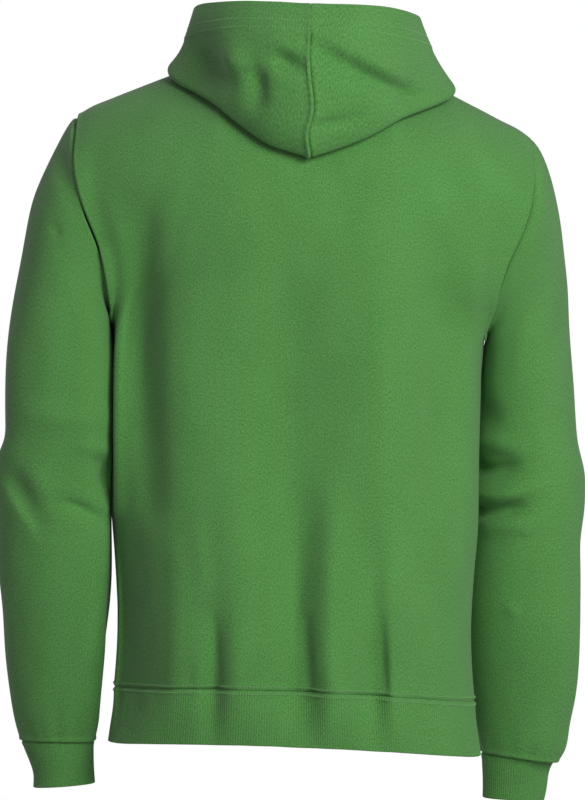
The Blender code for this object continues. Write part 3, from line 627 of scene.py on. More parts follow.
def hood_grid(side_x, sizes, maps):
    """One half of the hood: columns from the middle of the back to the throat, rows from the neck seam
    over the roll, down to the lowest fold and up to the rim."""
    columns = 2 * NECK_COLUMNS
    shares = np.linspace(0, 1, columns + 1)
    at = {name: smooth(sizes["station"], column, shares) for name, column in sizes.items()}
    folds, normals = map(
        np.array, zip(*(body_place(maps, *spot) for spot in zip(at["fold_width"], at["fold_depth"])))
    )
    for _ in range(HOOD_SMOOTHING):
        normals[1:-1] = unit(normals[:-2] + 2 * normals[1:-1] + normals[2:])
    normals[[0, -1], 0] = 0
    normals = unit(normals)
    sections = [
        hood_section(j, {name: column[j] for name, column in at.items()}, folds[j], normals[j])
        for j in range(columns + 1)
    ]
    return posed(np.stack(sections, axis=1) * np.array([side_x, 1, 1]))


# --- Grids ---


def closed(points, wraps):
    """The grid, with its first column once more at the end where it wraps round."""
    return np.concatenate([points, points[:, :1]], axis=1) if wraps else points


def grid_normals(points, wraps, flip):
    """Outward directions of a grid of points, unnormalised, by the faces around each."""
    points = closed(points, wraps)
    a, b = points[:-1, :-1], points[:-1, 1:]
    c, d = points[1:, 1:], points[1:, :-1]
    face = np.cross(c - a, d - b) * flip
    normals = np.zeros_like(points)
    normals[:-1, :-1] += face
    normals[:-1, 1:] += face
    normals[1:, 1:] += face
    normals[1:, :-1] += face
    if wraps:
        normals[:, 0] += normals[:, -1]
        normals = normals[:, :-1]
    return normals


# --- The scene's own sizes ---

FINE_STEP = 2.3 * MM  # distance between the points of a fine surface
INNER_STRIDE = 2  # the inner face has every second of them
EDGE_STEPS = np.array([0, 0.4, 0.9, 1.5, 2.2, 3.0, 3.9, 5.0, 6.4]) * MM  # closer together at an edge
LEAST_WALL = 0.3 * MM  # where a seam dives deepest
SHARP_ANGLE = math.radians(70)
RIB_PITCH = 2.6 * MM
RIB_DEPTH = 0.16 * MM
STEPS_PER_RIB = 4

# Creases finer than the solids' folds, in the same columns: as seen from behind, positive stands out.
BACK_CREASES = table(FOLD_COLUMNS, """
96 -560 95 -600 94 -638 5 -1 -3 -2.5
3 -560 2 -600 -1 -638 5 -1 -3 -2.5
-73 -560 -74 -600 -76 -638 5 -1 -3 -2.5
122 -600 121 -620 120 -640 6 0 -1 -1.5
38 -590 38 -615 40 -640 7 0 -1 -1.5
-126 -590 -128 -615 -130 -640 8 0 -1 -1.5
118 -440 110 -500 104 -560 10 0 2 0
209 -190 199 -280 199 -450 8 3 7 4
-180 -248 -180 -272 -180 -298 7 0 4 0
""")
FRONT_CREASES = table(FOLD_COLUMNS, """
90 -560 88 -600 86 -638 6 -1 -2 0
-20 -570 -21 -605 -22 -638 6 -1 -2 0
-96 -570 -96 -605 -95 -638 6 -1 -2 0
40 -590 38 -615 38 -640 7 0 -1 0
112 -430 104 -480 98 -540 10 0 2 0
""")
SLEEVE_CREASES = table(FOLD_COLUMNS, """
319 -418 302 -446 284 -473 4 0.5 2 1
262 -40 256 -90 240 -142 10 -3 -7 -2
254 -441 234 -448 214 -459 4 0 -2 -1
262 -156 259 -165 255 -174 5 0 -2 0
240 -392 226 -386 212 -390 8 0 2 2
-178 -449 -200 -448 -224 -441 4 -2 -3 0
-219 -478 -226 -475 -234 -475 3 0 1 0
-208 -545 -212 -556 -220 -563 7 0 2 0
-180 -395 -198 -397 -214 -394 6 -1 -2 0
-176 -340 -184 -352 -196 -366 14 -2 -4 -1
-262 -480 -262 -590 -256 -700 45 3 9 7
216 -520 218 -600 222 -700 40 2 6 4
""")
HOOD_CREASES = table(FOLD_COLUMNS, """
2 24 -20 13 -44 0 6 -4 -5 -3
-44 0 -70 -13 -100 -23 6 -3 -6 -4
-52 8 -74 -6 -92 -15 7 0 3 1
-6 -63 -27 -59 -52 -52 5 -2 -5 -1
-88 -38 -105 -31 -118 -22 5 0 -3 -1
42 11 28 8 12 -1 7 -1 -5 -2
30 38 0 37.5 -34 37 4 0 -1.5 0
104 34 92 16 78 0 8 0 2 1
52 -4 50 -20 46 -38 8 0 -3 -1
-60 40 -84 34 -104 18 9 0 -2 -1
""")
FIRST_SEED, SEED_STEP = 7, 10  # of the pieces' unevenness
CREASE_FACING = (0.05, 0.45)  # a crease sets in where the cloth turns this much to the viewer
# Where the hood's middle seam strays sideways, by height, and how far out and back the cloth follows.
SEAM_STRAY = table("height shift", """
62 0
25 0.5
2 1.5
-14 -0.5
-27 -5
-42 -7
-53 -8
-62 -3.5
-74 -4
-91 -7
""")
STRAY_REACH, STRAY_DEPTHS = 22 * MM, (60 * MM, 90 * MM)
# The cloth's own waves: the pitch down and across of long ones, of short ones, of the puckers at a
# seam and of the gathers where it draws the cloth in; then their heights and reaches.
WAVE_PITCHES = ((120 * MM, 38 * MM), (42 * MM, 17 * MM), (11 * MM, 9 * MM), (60 * MM, 13 * MM))
LONG_WAVE, SHORT_WAVE, PUCKER = 0.9 * MM, 0.35 * MM, 0.35 * MM
PUCKER_REACH, GATHER_REACH = 7 * MM, 26 * MM
CALM, CALM_REACH = 0.9, 5 * MM  # at a seam, two pieces keep to one line
# How deep a seam dives, how high the roll beside it stands and how far the dive reaches.
SEAMS = {
    "sewn": (1.1 * MM, 0.35 * MM, 1.1 * MM),
    "pressed": (0.45 * MM, 0.1 * MM, 1.1 * MM),
    "deep": (2.2 * MM, 0.6 * MM, 1.2 * MM),
    "tucked": (3.2 * MM, 0.0, 3.2 * MM),
    "overhanging": (1.6 * MM, 1.3 * MM, 1.1 * MM),
}
SEAM_ROLL_AT, SEAM_ROLL_REACH = 3.4 * MM, 2.2 * MM
# Behind the left arm the body's cloth rolls over the sleeve's: how far out, the depths and heights
# where that sets in and ends, and the near and far reach of the rise on each side.
ROLL = 8.5 * MM
ROLL_DEPTHS, ROLL_TOP, ROLL_FOOT = (15 * MM, 45 * MM), (-40 * MM, -100 * MM), (-290 * MM, -340 * MM)
ROLL_SIDES = {
    "back_body": ("last_column", 19 * MM, 21 * MM),
    "sleeve_left": ("first_row", 4.5 * MM, 30 * MM),
}
# The hood's casing for a cord, its rows of stitches, and the lap of one half over the other.
CASING_DEPTH, CASING_RISE, CASING_STEP = 33 * MM, 0.9 * MM, (-1.2 * MM, 0.6 * MM)
CASING_STITCHES, GROOVE, GROOVE_REACH = (21.5 * MM, 30.5 * MM), 0.45 * MM, 1.4 * MM
LAP, LAP_REACH, LAP_UNDER = 2.3 * MM, 3 * MM, -0.6
# How much of the hood's middle seam shows on the casing, and how far below the casing all of it does.
SEAM_HIDDEN, SEAM_SHOWN_FROM = 0.15, 9 * MM
# Stitches: how long they are, how they slant, in degrees, and how far they stand off the cloth.
HEM_STITCH, HEM_THREAD, HEM_STITCH_OFFSET = (2.4 * MM, 48, 0.4 * MM), 0.55 * MM, 3.6 * MM
CASING_STITCH, CASING_THREAD = (2.6 * MM, 58, 0.1 * MM), 0.42 * MM
STITCH_PITCH, THREAD_SIDES = 3.1 * MM, 5
THREAD_DIP = 1.2  # scales how deep a stitch's ends dip, in radii of its thread
# The bar tack at the top of the hood's seam: from here to there by width, and how far below the rim.
BAR_TACK, BAR_TACK_DEPTH = (-10.5 * MM, -2.5 * MM), 4.5 * MM
BAR_STITCH, BAR_PITCH = (2.6 * MM, 80, 0.2 * MM), 0.8 * MM

DARK_GREEN, LIGHT_GREEN = (0.045, 0.186, 0.029), (0.106, 0.337, 0.075)
THREAD_GREENS = (0.10, 0.28, 0.075), (0.19, 0.42, 0.15)
FLOOR_COLOUR = (0.46, 0.53, 0.44, 1)
# The sky that lights the scene. The camera sees white.
SKY_COLOUR, SKY_STRENGTH, WHITE = (1.15, 0.72, 1.3, 1), 0.31, (1, 1, 1, 1)
CAMERA_DISTANCE = 4.5
CAMERA_AIM = Vector((17.2 * MM, 0, -338 * MM))
CAMERA_LENS, CAMERA_SENSOR = 195, 36
LIGHTS = (  # name, place, power in watts, size
    ("key", (-1.4, 2.4, 0.8), 73.5, 1.4),
    ("front", (0.2, 4.0, -0.2), 6, 1.2),
    ("behind", (2.6, -3.2, 1.2), 40, 2.4),
)
FLOOR_HEIGHT = -1.45  # the wearer's feet
FLOOR_REACH = 2.5


# --- Fine surfaces ---


@dataclass
class Piece:
    """A piece of cloth: its cut grid and later its fine surface, and what they and its shell need."""

    name: str
    points: np.ndarray
    flip: int  # 1 or -1, so that the grid's normals point outward
    edges: dict  # the kind of each edge: a grid with column edges is open, any other wraps round
    cut: tuple  # the flat cut's width and length in metres, and its area where it isn't a rectangle
    hangs_from: tuple = ()
    wall: float = FLEECE_WALL
    creases: tuple = ()
    gathers: dict = field(default_factory=dict)  # how high the cloth gathers at an edge
    shown: dict = field(default_factory=dict)  # how much of an edge's seam shows, where not all
    middle: float = 0.5  # where the middle line runs, as a share of the width
    stitches: tuple = ()

    def __post_init__(self):
        self.wraps, self.ribs = "first_column" not in self.edges, self.wall == RIB_WALL

    def normals(self):
        return unit(grid_normals(self.points, self.wraps, self.flip))

    def move_out(self, height):
        """Moves the points outward, as far as `height` says at each."""
        self.points = self.points + self.normals() * height[..., None]


def spline_weights(knots, at, period=None):
    """Weights that carry one value at each knot to the smooth curve through them, read at `at`."""
    count = len(knots)
    places = knots if period is None else np.append(knots, knots[0] + period)
    step = np.diff(places)
    bends, pulls = np.eye(count), np.zeros((count, count))
    for i in range(1, count - 1) if period is None else range(count):
        before, after = step[i - 1], step[i]
        left, right = (i - 1) % count, (i + 1) % count
        bends[i, left], bends[i, i], bends[i, right] = before, 2 * (before + after), after
        pulls[i, left] += 6 / before
        pulls[i, i] -= 6 / before + 6 / after
        pulls[i, right] += 6 / after
    curve = np.linalg.solve(bends, pulls)
    if period is not None:
        at = knots[0] + (at - knots[0]) % period
    i = np.clip(np.searchsorted(places, at, side="right") - 1, 0, len(step) - 1)
    far = (at - places[i]) / step[i]
    weights = np.zeros((len(at), count))
    sides = (1 - far, i), (far, (i + 1) % count)
    for share, knot in sides:
        weights[np.arange(len(at)), knot] += share
    for share, knot in sides:
        weights += ((share**3 - share) * step[i] ** 2 / 6)[:, None] * curve[knot]
    return weights


def lengths(points, axis=0):
    """The length of each step along an axis of a line or grid."""
    return np.linalg.norm(np.diff(points, axis=axis), axis=-1)


def running(steps, axis=0):
    """The running total of steps along an axis, from 0."""
    return np.insert(np.cumsum(steps, axis=axis), 0, 0, axis=axis)


def stations(length):
    """Places along a length, closer together at its ends."""
    end = length - EDGE_STEPS[::-1]
    count = max(2, math.ceil((end[0] - EDGE_STEPS[-1]) / FINE_STEP) + 1)
    return np.concatenate([EDGE_STEPS[:-1], np.linspace(EDGE_STEPS[-1], end[0], count), end[1:]])


def refine(piece):
    """Makes the piece's cut grid its fine surface, with the mean places of its rows and columns, how
    far across each point is from the middle line, and how far from each edge."""
    row_knots = running(lengths(piece.points).mean(axis=1))
    column_knots = running(lengths(closed(piece.points, piece.wraps), 1).mean(axis=0))
    piece.period = column_knots[-1] if piece.wraps else None
    piece.rows, piece.columns = stations(row_knots[-1]), stations(column_knots[-1])
    if piece.ribs:
        count = round(piece.period / RIB_PITCH) * STEPS_PER_RIB
        piece.columns = np.arange(count) * piece.period / count
    elif piece.wraps:
        piece.columns = piece.columns[:-1]
    knots = column_knots[:-1] if piece.wraps else column_knots
    across = spline_weights(knots, piece.columns, piece.period)
    down = spline_weights(row_knots, piece.rows)
    points = np.einsum("ri,ijk,cj->rck", down, piece.points, across, optimize=True)
    piece.points = points
    along = running(lengths(closed(points, piece.wraps), 1), 1)
    if piece.ribs:
        along = np.broadcast_to(np.append(piece.columns, piece.period), along.shape)
    length = along[:, -1:]
    piece.across = along - piece.middle * length
    down = running(lengths(points))
    piece.distances = {
        "first_row": down,
        "last_row": down[-1:] - down,
        "first_column": along[:, : points.shape[1]],
        "last_column": (length - along)[:, : points.shape[1]],
    }


def soft_noise(piece, seed, row_pitch, column_pitch):
    """Smooth unevenness over the piece, from -1 to 1 or so, with bumps of these sizes."""
    random = np.random.default_rng(seed)
    row_knots, column_knots = (
        np.arange(places[0] - pitch, places[-1] + 2 * pitch, pitch)
        for places, pitch in ((piece.rows, row_pitch), (piece.columns, column_pitch))
    )
    if piece.wraps:
        count = max(4, round(piece.period / column_pitch))
        column_knots = np.linspace(0, piece.period, count, endpoint=False)
    values = random.normal(size=(len(row_knots), len(column_knots))) * 0.5
    across = spline_weights(column_knots, piece.columns, piece.period)
    return spline_weights(row_knots, piece.rows) @ values @ across.T


def unevenness(piece, seed):
    """The cloth's own small waves: long soft ones down its length and short ones where it is sewn."""
    long, short, pucker, gather = (
        soft_noise(piece, seed + k, *pitches) for k, pitches in enumerate(WAVE_PITCHES)
    )
    drape = LONG_WAVE * long
    drape += SHORT_WAVE * short
    sewn = [edge for edge, kind in piece.edges.items() if kind != "turned"]
    for edge in sewn:
        drape += PUCKER * pucker * np.exp(-piece.distances[edge] / PUCKER_REACH)
        drape += piece.gathers.get(edge, 0) * gather * np.exp(-piece.distances[edge] / GATHER_REACH)
    for edge in sewn:
        drape = drape * (1 - CALM * swell(piece.distances[edge], CALM_REACH))
    return drape


def sewn_edges(piece):
    """How far the cloth rises at its edges: it dives into a seam, beside a roll, or turns in."""
    total = np.zeros(piece.points.shape[:2])
    for edge, kind in piece.edges.items():
        distance = piece.distances[edge]
        if kind == "turned":
            radius = piece.wall / 2
            left = np.clip(radius - distance, 0, radius)
            total -= radius - np.sqrt(np.maximum(radius**2 - left**2, 0))
        else:
            depth, ridge, reach = SEAMS[kind]
            roll = ridge * swell(distance - SEAM_ROLL_AT, SEAM_ROLL_REACH)
            total += (roll - depth * swell(distance, reach)) * piece.shown.get(edge, 1)
    return total


# --- Meshes ---


def placed(name, data, place=(0, 0, 0)):
    """A new object in the scene with this mesh, light or camera."""
    made = bpy.data.objects.new(name, data)
    made.location = place
    bpy.context.scene.collection.objects.link(made)
    return made


def smooth_mesh(name, points, faces, material):
    mesh = bpy.data.meshes.new(name)
    mesh.from_pydata(points.reshape(-1, 3).tolist(), [], faces)
    mesh.materials.append(material)
    mesh.shade_smooth()
    mesh.update()
    return placed(name, mesh)


def quads(corners):
    """The faces of a grid of corners."""
    around = corners[:-1, :-1], corners[:-1, 1:], corners[1:, 1:], corners[1:, :-1]
    return list(np.stack(around, axis=2).reshape(-1, 4, 2))


def strips(fine, coarse, kept):
    """The faces between an edge of the fine face and the coarse one's, which kept these of it."""
    return [
        np.vstack([coarse[a], fine[start : stop + 1], coarse[a + 1]])
        for a, (start, stop) in enumerate(itertools.pairwise(kept))
    ]


def shell(piece, inner_points, material):
    """A closed shell: the fine outer face, a coarser inner one and the edges between them."""
    texture = np.stack([piece.across, np.broadcast_to(piece.rows[:, None], piece.across.shape)], axis=-1)
    kept = [sorted({*range(0, count - 1, INNER_STRIDE), count - 1}) for count in piece.across.shape]
    inner_points = inner_points[np.ix_(kept[0], kept[1][: len(kept[1]) - piece.wraps])]

    def corners(points, first, first_place):
        """Each corner of a grid as the number of its point and that of its place in the cloth."""
        numbers = closed(first + np.arange(points[..., 0].size).reshape(points.shape[:2]), piece.wraps)
        places = first_place + np.arange(numbers.size).reshape(numbers.shape)
        return np.stack([numbers, places], axis=-1)

    outer = corners(piece.points, 0, 0)
    inner = corners(inner_points, piece.points[..., 0].size, piece.across.size)
    faces = quads(outer) + quads(inner.swapaxes(0, 1)) + strips(outer[-1], inner[-1], kept[1])
    faces += [face[::-1] for face in strips(outer[0], inner[0], kept[1])]
    if not piece.wraps:
        faces += strips(outer[:, 0], inner[:, 0], kept[0])
        faces += [face[::-1] for face in strips(outer[:, -1], inner[:, -1], kept[0])]
    faces = [face[:: piece.flip] for face in faces]
    points = np.concatenate([piece.points.reshape(-1, 3), inner_points.reshape(-1, 3)])
    cloth = smooth_mesh(piece.name, points, [face[:, 0].tolist() for face in faces], material)
    cloth.data.set_sharp_from_angle(angle=SHARP_ANGLE)
    places = np.concatenate([texture.reshape(-1, 2), texture[np.ix_(*kept)].reshape(-1, 2)])
    layer = cloth.data.uv_layers.new(name="cloth")
    layer.data.foreach_set("uv", places[np.concatenate(faces)[:, 1]].astype(np.float32).ravel())
    return cloth


# --- Threads ---


def line_along(piece, edge, distance):
    """A line of points and outward directions on the piece, this far from its first or last row."""
    away = piece.distances[edge]
    order = slice(None, None, 1 if edge == "first_row" else -1)
    numbers = np.arange(len(away))[order]
    place = np.array([np.interp(distance, column[order], numbers) for column in away.T])
    row, column = np.minimum(place.astype(int), len(away) - 2), np.arange(len(place))
    share = (place - row)[:, None]
    line, outward = (
        closed((grid[row, column] * (1 - share) + grid[row + 1, column] * share)[None], piece.wraps)[0]
        for grid in (piece.points, piece.normals())
    )
    return line, unit(outward)


def stitches(line, outward, kind, lean=1, pitch=STITCH_PITCH):
    """Stitches as (middle, half length vector, outward) at even steps along a line."""
    length, slant, lift = kind
    along = running(lengths(line))
    at = np.arange(pitch / 2, along[-1], pitch)

    def read(values, at):
        return np.stack([np.interp(at, along, values[:, k]) for k in range(3)], axis=-1)

    middle, normal = read(line, at), unit(read(outward, at))
    tangent = unit(read(line, at + pitch / 4) - middle)
    tangent = unit(tangent - normal * np.sum(tangent * normal, axis=-1, keepdims=True))
    slant = math.radians(slant) * lean
    run = tangent * math.cos(slant) + np.cross(normal, tangent) * math.sin(slant)
    return middle + normal * lift, run * length / 2, normal


def threads(name, rows, radius, material):
    """All the stitches as one mesh of short round-ended threads that dip into the cloth at their ends."""
    # From end to end: how far along each ring is, how thick and how deep, as shares.
    ahead = np.array([-1, -0.82, -0.35, 0.35, 0.82, 1])
    thickness = np.array([0.35, 0.85, 1, 1, 0.85, 0.35])
    dip = np.array([0.9, 0.35, 0, 0, 0.35, 0.9])
    sides, each = THREAD_SIDES, THREAD_SIDES * len(ahead)
    angles = (np.arange(sides) * 2 * math.pi / sides)[:, None]
    middle, run, normal = (np.concatenate(part)[:, None] for part in zip(*rows))
    beside = unit(np.cross(run, normal))
    centre = middle + run * ahead[:, None] - normal * (dip * radius * THREAD_DIP)[:, None]
    ring = beside * np.cos(angles) + normal * np.sin(angles)
    points = centre[:, :, None] + ring[:, None] * (radius * thickness)[:, None, None]
    walls = [
        [r + s, r + (s + 1) % sides, r + sides + (s + 1) % sides, r + sides + s]
        for r, s in itertools.product(range(0, each - sides, sides), range(sides))
    ]
    caps = [range(sides)[::-1], range(each - sides, each)]
    firsts = range(0, len(middle) * each, each)
    faces = [[first + k for k in face] for part in (walls, caps) for first in firsts for face in part]
    return smooth_mesh(name, points, faces, material)


def sew(name, rows, radius, material, piece):
    """Makes rows of stitches one piece of thread, sewn on that piece of cloth."""
    thread = threads(name, rows, radius, material)
    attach(thread, "root")
    piece.stitches = (thread,)


# --- Materials ---


class Nodes:
    """A short way to write a material's nodes."""

    def __init__(self, name):
        self.material = bpy.data.materials.new(name)
        self.material.use_nodes = True
        self.tree = self.material.node_tree

    def put(self, node, **inputs):
        """Links or sets a node's inputs, by name with _ for a space, or by number after an n."""
        for key, value in inputs.items():
            socket = node.inputs[int(key[1:]) if key[1:].isdigit() else key.replace("_", " ")]
            if isinstance(value, bpy.types.NodeSocket):
                self.tree.links.new(value, socket)
            else:
                socket.default_value = value

    def add(self, kind, settings=None, **inputs):
        node = self.tree.nodes.new(kind)
        for key, value in (settings or {}).items():
            setattr(node, key, value)
        self.put(node, **inputs)
        return node

    def maths(self, operation, first, second):
        return self.add("ShaderNodeMath", {"operation": operation}, n0=first, n1=second).outputs[0]

    def wave(self, place, pitch):
        return self.maths("SINE", self.maths("MULTIPLY", place, 2 * math.pi / pitch), 0.0)

    def noise(self, place, across, down, **settings):
        """Noise over a place in cloth sizes, with so many cells a metre each way."""
        place = self.add("ShaderNodeVectorMath", {"operation": "MULTIPLY"}, n0=place, n1=(across, down, 1))
        return self.add("ShaderNodeTexNoise", Vector=place.outputs[0], Scale=1.0, **settings).outputs["Fac"]

    def total(self, start, *parts):
        """start, plus how far each value is from its middle, times its weight."""
        for value, middle, weight in parts:
            away = self.maths("SUBTRACT", value, middle) if middle else value
            start = self.maths("ADD", start, self.maths("MULTIPLY", away, weight))
        return start

    def finish(self, share, dark, light, bump, **inputs):
        """The material, with this share of light in its colour, a bump and these shader inputs."""
        colour = self.add("ShaderNodeMix", {"data_type": "RGBA"}, n0=share, n6=(*dark, 1), n7=(*light, 1))
        strength, distance, height = bump
        relief = self.add("ShaderNodeBump", Strength=strength, Distance=distance, Height=height)
        inputs |= {"Base_Color": colour.outputs[2], "Normal": relief.outputs[0]}
        self.put(self.tree.nodes["Principled BSDF"], **inputs)
        return self.material


def knit(name, wale, course):
    """Knitted cloth in its cut's own sizes: wales down the length, fibres of uneven colour over them."""
    nodes = Nodes(name)
    place = nodes.add("ShaderNodeUVMap", {"uv_map": "cloth"}).outputs[0]
    sizes = nodes.add("ShaderNodeSeparateXYZ", Vector=place)
    wander = nodes.noise(place, 120, 40, Detail=1.0)
    strayed = nodes.total(sizes.outputs["X"], (wander, 0, 0.6 * MM))
    wales, courses = nodes.wave(strayed, wale), nodes.wave(sizes.outputs["Y"], course)
    fibres = nodes.noise(place, 1400, 520, Detail=2.0, Roughness=0.6)
    flecks = nodes.noise(place, 620, 480, Detail=1.0)
    broad = nodes.noise(place, 22, 14, Detail=2.0)
    share = nodes.total(0.5, (fibres, 0.5, 2.2), (flecks, 0.5, 1.5), (broad, 0.5, 0.35), (wales, 0, 0.1))
    height = nodes.total(0.0, (wales, 0, 0.35), (courses, 0, 0.12), (fibres, 0, 1.3))
    return nodes.finish(
        share, DARK_GREEN, LIGHT_GREEN, (0.5, 0.4 * MM, height), Roughness=0.92, Specular_IOR_Level=0.2,
        Sheen_Weight=0.12, Sheen_Roughness=0.6, Sheen_Tint=(0.75, 0.85, 0.75, 1),
    )


def thread_material():
    nodes = Nodes("thread")
    place = nodes.add("ShaderNodeTexCoord").outputs["Object"]
    twist = nodes.add("ShaderNodeTexNoise", Vector=place, Scale=900.0, Detail=1.0).outputs["Fac"]
    return nodes.finish(twist, *THREAD_GREENS, (0.3, 0.2 * MM, twist), Roughness=0.6)


# --- Studio ---


def studio():
    scene = bpy.context.scene
    scene.view_settings.view_transform = "Standard"
    eye = bpy.data.cameras.new("camera")
    eye.lens, eye.sensor_width = CAMERA_LENS, CAMERA_SENSOR
    scene.camera = placed("camera", eye, CAMERA_AIM + Vector((0, CAMERA_DISTANCE, 0)))
    scene.camera.rotation_euler = (math.radians(90), 0, math.radians(180))
    for name, place, power, size in LIGHTS:
        light = bpy.data.lights.new(name, "AREA")
        light.energy, light.size = power, size
        lamp = placed(name, light, place)
        lamp.rotation_euler = (CAMERA_AIM - lamp.location).to_track_quat("-Z", "Y").to_euler()
    scene.world = bpy.data.worlds.new("studio")
    scene.world.use_nodes = True
    nodes, links = scene.world.node_tree.nodes, scene.world.node_tree.links
    seen, lit = nodes.new("ShaderNodeBackground"), nodes["Background"]
    seen.inputs["Color"].default_value = WHITE
    lit.inputs["Color"].default_value = SKY_COLOUR
    lit.inputs["Strength"].default_value = SKY_STRENGTH
    mix = nodes.new("ShaderNodeMixShader")
    links.new(nodes.new("ShaderNodeLightPath").outputs["Is Camera Ray"], mix.inputs[0])
    links.new(lit.outputs[0], mix.inputs[1])
    links.new(seen.outputs[0], mix.inputs[2])
    links.new(mix.outputs[0], nodes["World Output"].inputs[0])
    pale = Nodes("pale_floor")
    pale.put(pale.tree.nodes["Principled BSDF"], Base_Color=FLOOR_COLOUR, Roughness=0.9)
    sides = (-FLOOR_REACH, FLOOR_REACH)
    corners = np.array([(x, y, FLOOR_HEIGHT) for x, y in itertools.product(sides, sides)])
    floor = smooth_mesh("floor", corners, [(0, 2, 3, 1)], pale.material)


# --- The garment ---


def strayed(points):
    """The hood's points with its middle seam led sideways, the cloth beside it following."""
    shift = smooth(SEAM_STRAY["height"], SEAM_STRAY["shift"], points[..., 2])
    points[..., 0] += shift * (swell(points[..., 0], STRAY_REACH) * ramp(*STRAY_DEPTHS, points[..., 1]))
    return points


def garment():
    """Every piece by the node that it replaces."""
    back, front = panel_grid(1), panel_grid(-1)
    body = ("back_cloth", "front_cloth")
    around = dict(first_row="sewn", last_row="sewn", first_column="pressed", last_column="deep")
    hem = dict(first_row="sewn", last_row="turned")
    pieces = {
        "back_body": Piece(
            "back_cloth", back, -1, around, (0.53, 0.68, 0.31),
            creases=(BACK_CREASES,), gathers={"first_row": 1.6 * MM},
        ),
        "front_body": Piece(
            "front_cloth", front, 1, around, (0.53, 0.66, 0.31),
            creases=(FRONT_CREASES,), gathers={"first_row": 1.2 * MM},
        ),
        "hem_band": Piece(
            "hem_band_rib", band_grid(), 1, hem, (1.02, 0.06, None), body, RIB_WALL,
            gathers={"first_row": 0.9 * MM},
        ),
    }
    maps = {side: shoulder_map(side) for side in (1, -1)}
    for word, side_x, sleeve_sizes, cuff_sizes, hood_sizes in (
        ("left", 1, LEFT_SLEEVE, LEFT_CUFF, LEFT_HOOD),
        ("right", -1, RIGHT_SLEEVE, RIGHT_CUFF, RIGHT_HOOD),
    ):
        sleeve = sleeve_grid(side_x, sleeve_sizes, back, front)
        cuff = tube_grid(side_x, cuff_sizes, CUFF_ROWS)[0]
        hood = strayed(hood_grid(side_x, hood_sizes, maps))
        pieces[f"sleeve_{word}"] = Piece(
            f"sleeve_{word}_cloth", from_under_arm(sleeve), -side_x,
            dict(first_row="tucked" if side_x > 0 else "pressed", last_row="overhanging"),
            (0.46, 0.68, 0.22), body,
            creases=(SLEEVE_FOLDS, SLEEVE_CREASES), gathers={"last_row": 1.5 * MM},
        )
        pieces[f"cuff_{word}"] = Piece(
            f"cuff_{word}_rib", from_under_arm(cuff), -side_x, hem, (0.21, 0.055, None),
            (f"sleeve_{word}_cloth",), RIB_WALL, gathers={"first_row": 0.5 * MM},
        )
        pieces[f"hood_{word}"] = Piece(
            f"hood_{word}_cloth", hood, -side_x,
            dict(first_row="sewn", first_column="deep", last_column="sewn", last_row="turned"),
            (0.26, 0.28, 0.06), body, HOOD_WALL, creases=(HOOD_FOLDS, HOOD_CREASES), middle=0.0,
        )
    return pieces


def from_under_arm(tube):
    """The tube's grid with its first column under the arm, where its seam is."""
    return np.roll(tube, ARMHOLE_ROWS, axis=1)


def casing_and_lap(piece, lapped):
    """What stands out on a hood half: its casing, the grooves of its stitches and its seam's lap."""
    from_rim, from_seam = piece.distances["last_row"], piece.distances["first_column"]
    start, end = CASING_STEP
    height = CASING_RISE * (1 - ramp(CASING_DEPTH + start, CASING_DEPTH + end, from_rim))
    for row in CASING_STITCHES:
        height -= GROOVE * swell(from_rim - row, GROOVE_REACH)
    lap = LAP * swell(from_seam, LAP_REACH) * piece.shown["first_column"]
    return height + (lap if lapped else LAP_UNDER * lap)


def roll_over(piece, edge, near, far):
    """Lifts the left armhole's seam behind the arm, and the cloth beside it as far as it reaches."""
    points, distance = piece.points, piece.distances[edge]
    beside = 0.5 * swell(distance, near) + 0.5 * swell(distance, far)
    along = ramp(*ROLL_TOP, points[..., 2]) * (1 - ramp(*ROLL_FOOT, points[..., 2]))
    points[..., 1] += ROLL * beside * ramp(*ROLL_DEPTHS, points[..., 1]) * along


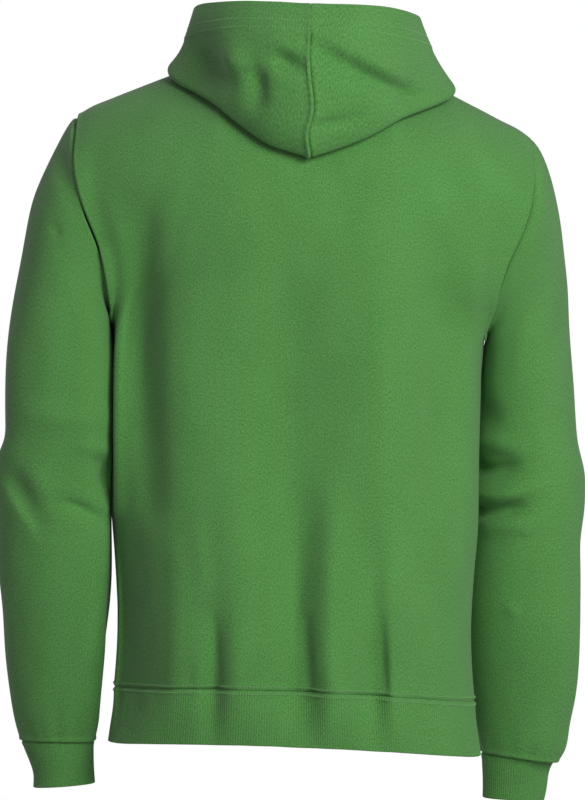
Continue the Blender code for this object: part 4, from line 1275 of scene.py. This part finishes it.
def dress(node, piece, seed):
    """Gives the piece its fine surface with everything raised on it, and returns its inner face."""
    refine(piece)
    if node in ROLL_SIDES:
        roll_over(piece, *ROLL_SIDES[node])
    hood = node.startswith("hood")
    if hood:
        below = piece.distances["last_row"] - CASING_DEPTH
        piece.shown["first_column"] = SEAM_HIDDEN + (1 - SEAM_HIDDEN) * ramp(0, SEAM_SHOWN_FROM, below)
    facing = piece.normals()[..., 1] * (-1 if node == "front_body" else 1)
    height = unevenness(piece, seed)
    for folds in piece.creases:
        height = height + relief(folds, piece.points) * ramp(*CREASE_FACING, facing)
    piece.move_out(height)
    detail = sewn_edges(piece)
    inner = piece.points - piece.normals() * np.maximum(piece.wall, LEAST_WALL - detail)[..., None]
    if piece.ribs:
        turns = piece.columns * 2 * math.pi / (piece.period / round(piece.period / RIB_PITCH))
        detail = detail + RIB_DEPTH * np.cos(turns)[None, :]
    if hood:
        detail = detail + casing_and_lap(piece, node == "hood_left")
    piece.move_out(detail)
    return inner


def sew_hem(pieces, thread):
    rows = [
        stitches(*line_along(pieces[node], "first_row", HEM_STITCH_OFFSET), HEM_STITCH, lean)
        for node, lean in (("hem_band", 1), ("back_body", -1), ("front_body", -1))
    ]
    sew("hem_stitches", rows, HEM_THREAD, thread, pieces["hem_band"])


def sew_casing(word, hood, thread):
    rows = [stitches(*line_along(hood, "last_row", row), CASING_STITCH) for row in CASING_STITCHES]
    if word == "right":
        line, outward = line_along(hood, "last_row", BAR_TACK_DEPTH)
        across = line[:, 0]
        tack = (across > BAR_TACK[0]) & (across < BAR_TACK[1]) & (line[:, 1] > 0)
        rows.append(stitches(line[tack], outward[tack], BAR_STITCH, pitch=BAR_PITCH))
    sew(f"casing_stitches_{word}", rows, CASING_THREAD, thread, hood)


def main():
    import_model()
    fleece = knit("fleece", wale=1.15 * MM, course=0.9 * MM)
    rib = knit("rib", wale=RIB_PITCH, course=1.0 * MM)
    thread = thread_material()
    pieces = garment()
    for index, (node, piece) in enumerate(pieces.items()):
        inner = dress(node, piece, FIRST_SEED + SEED_STEP * index)
        piece.cloth = shell(piece, inner, rib if piece.ribs else fleece)
        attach(piece.cloth, "root")
        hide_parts(node)
    sew_hem(pieces, thread)
    for word in ("left", "right"):
        sew_casing(word, pieces[f"hood_{word}"], thread)
    studio()


main()
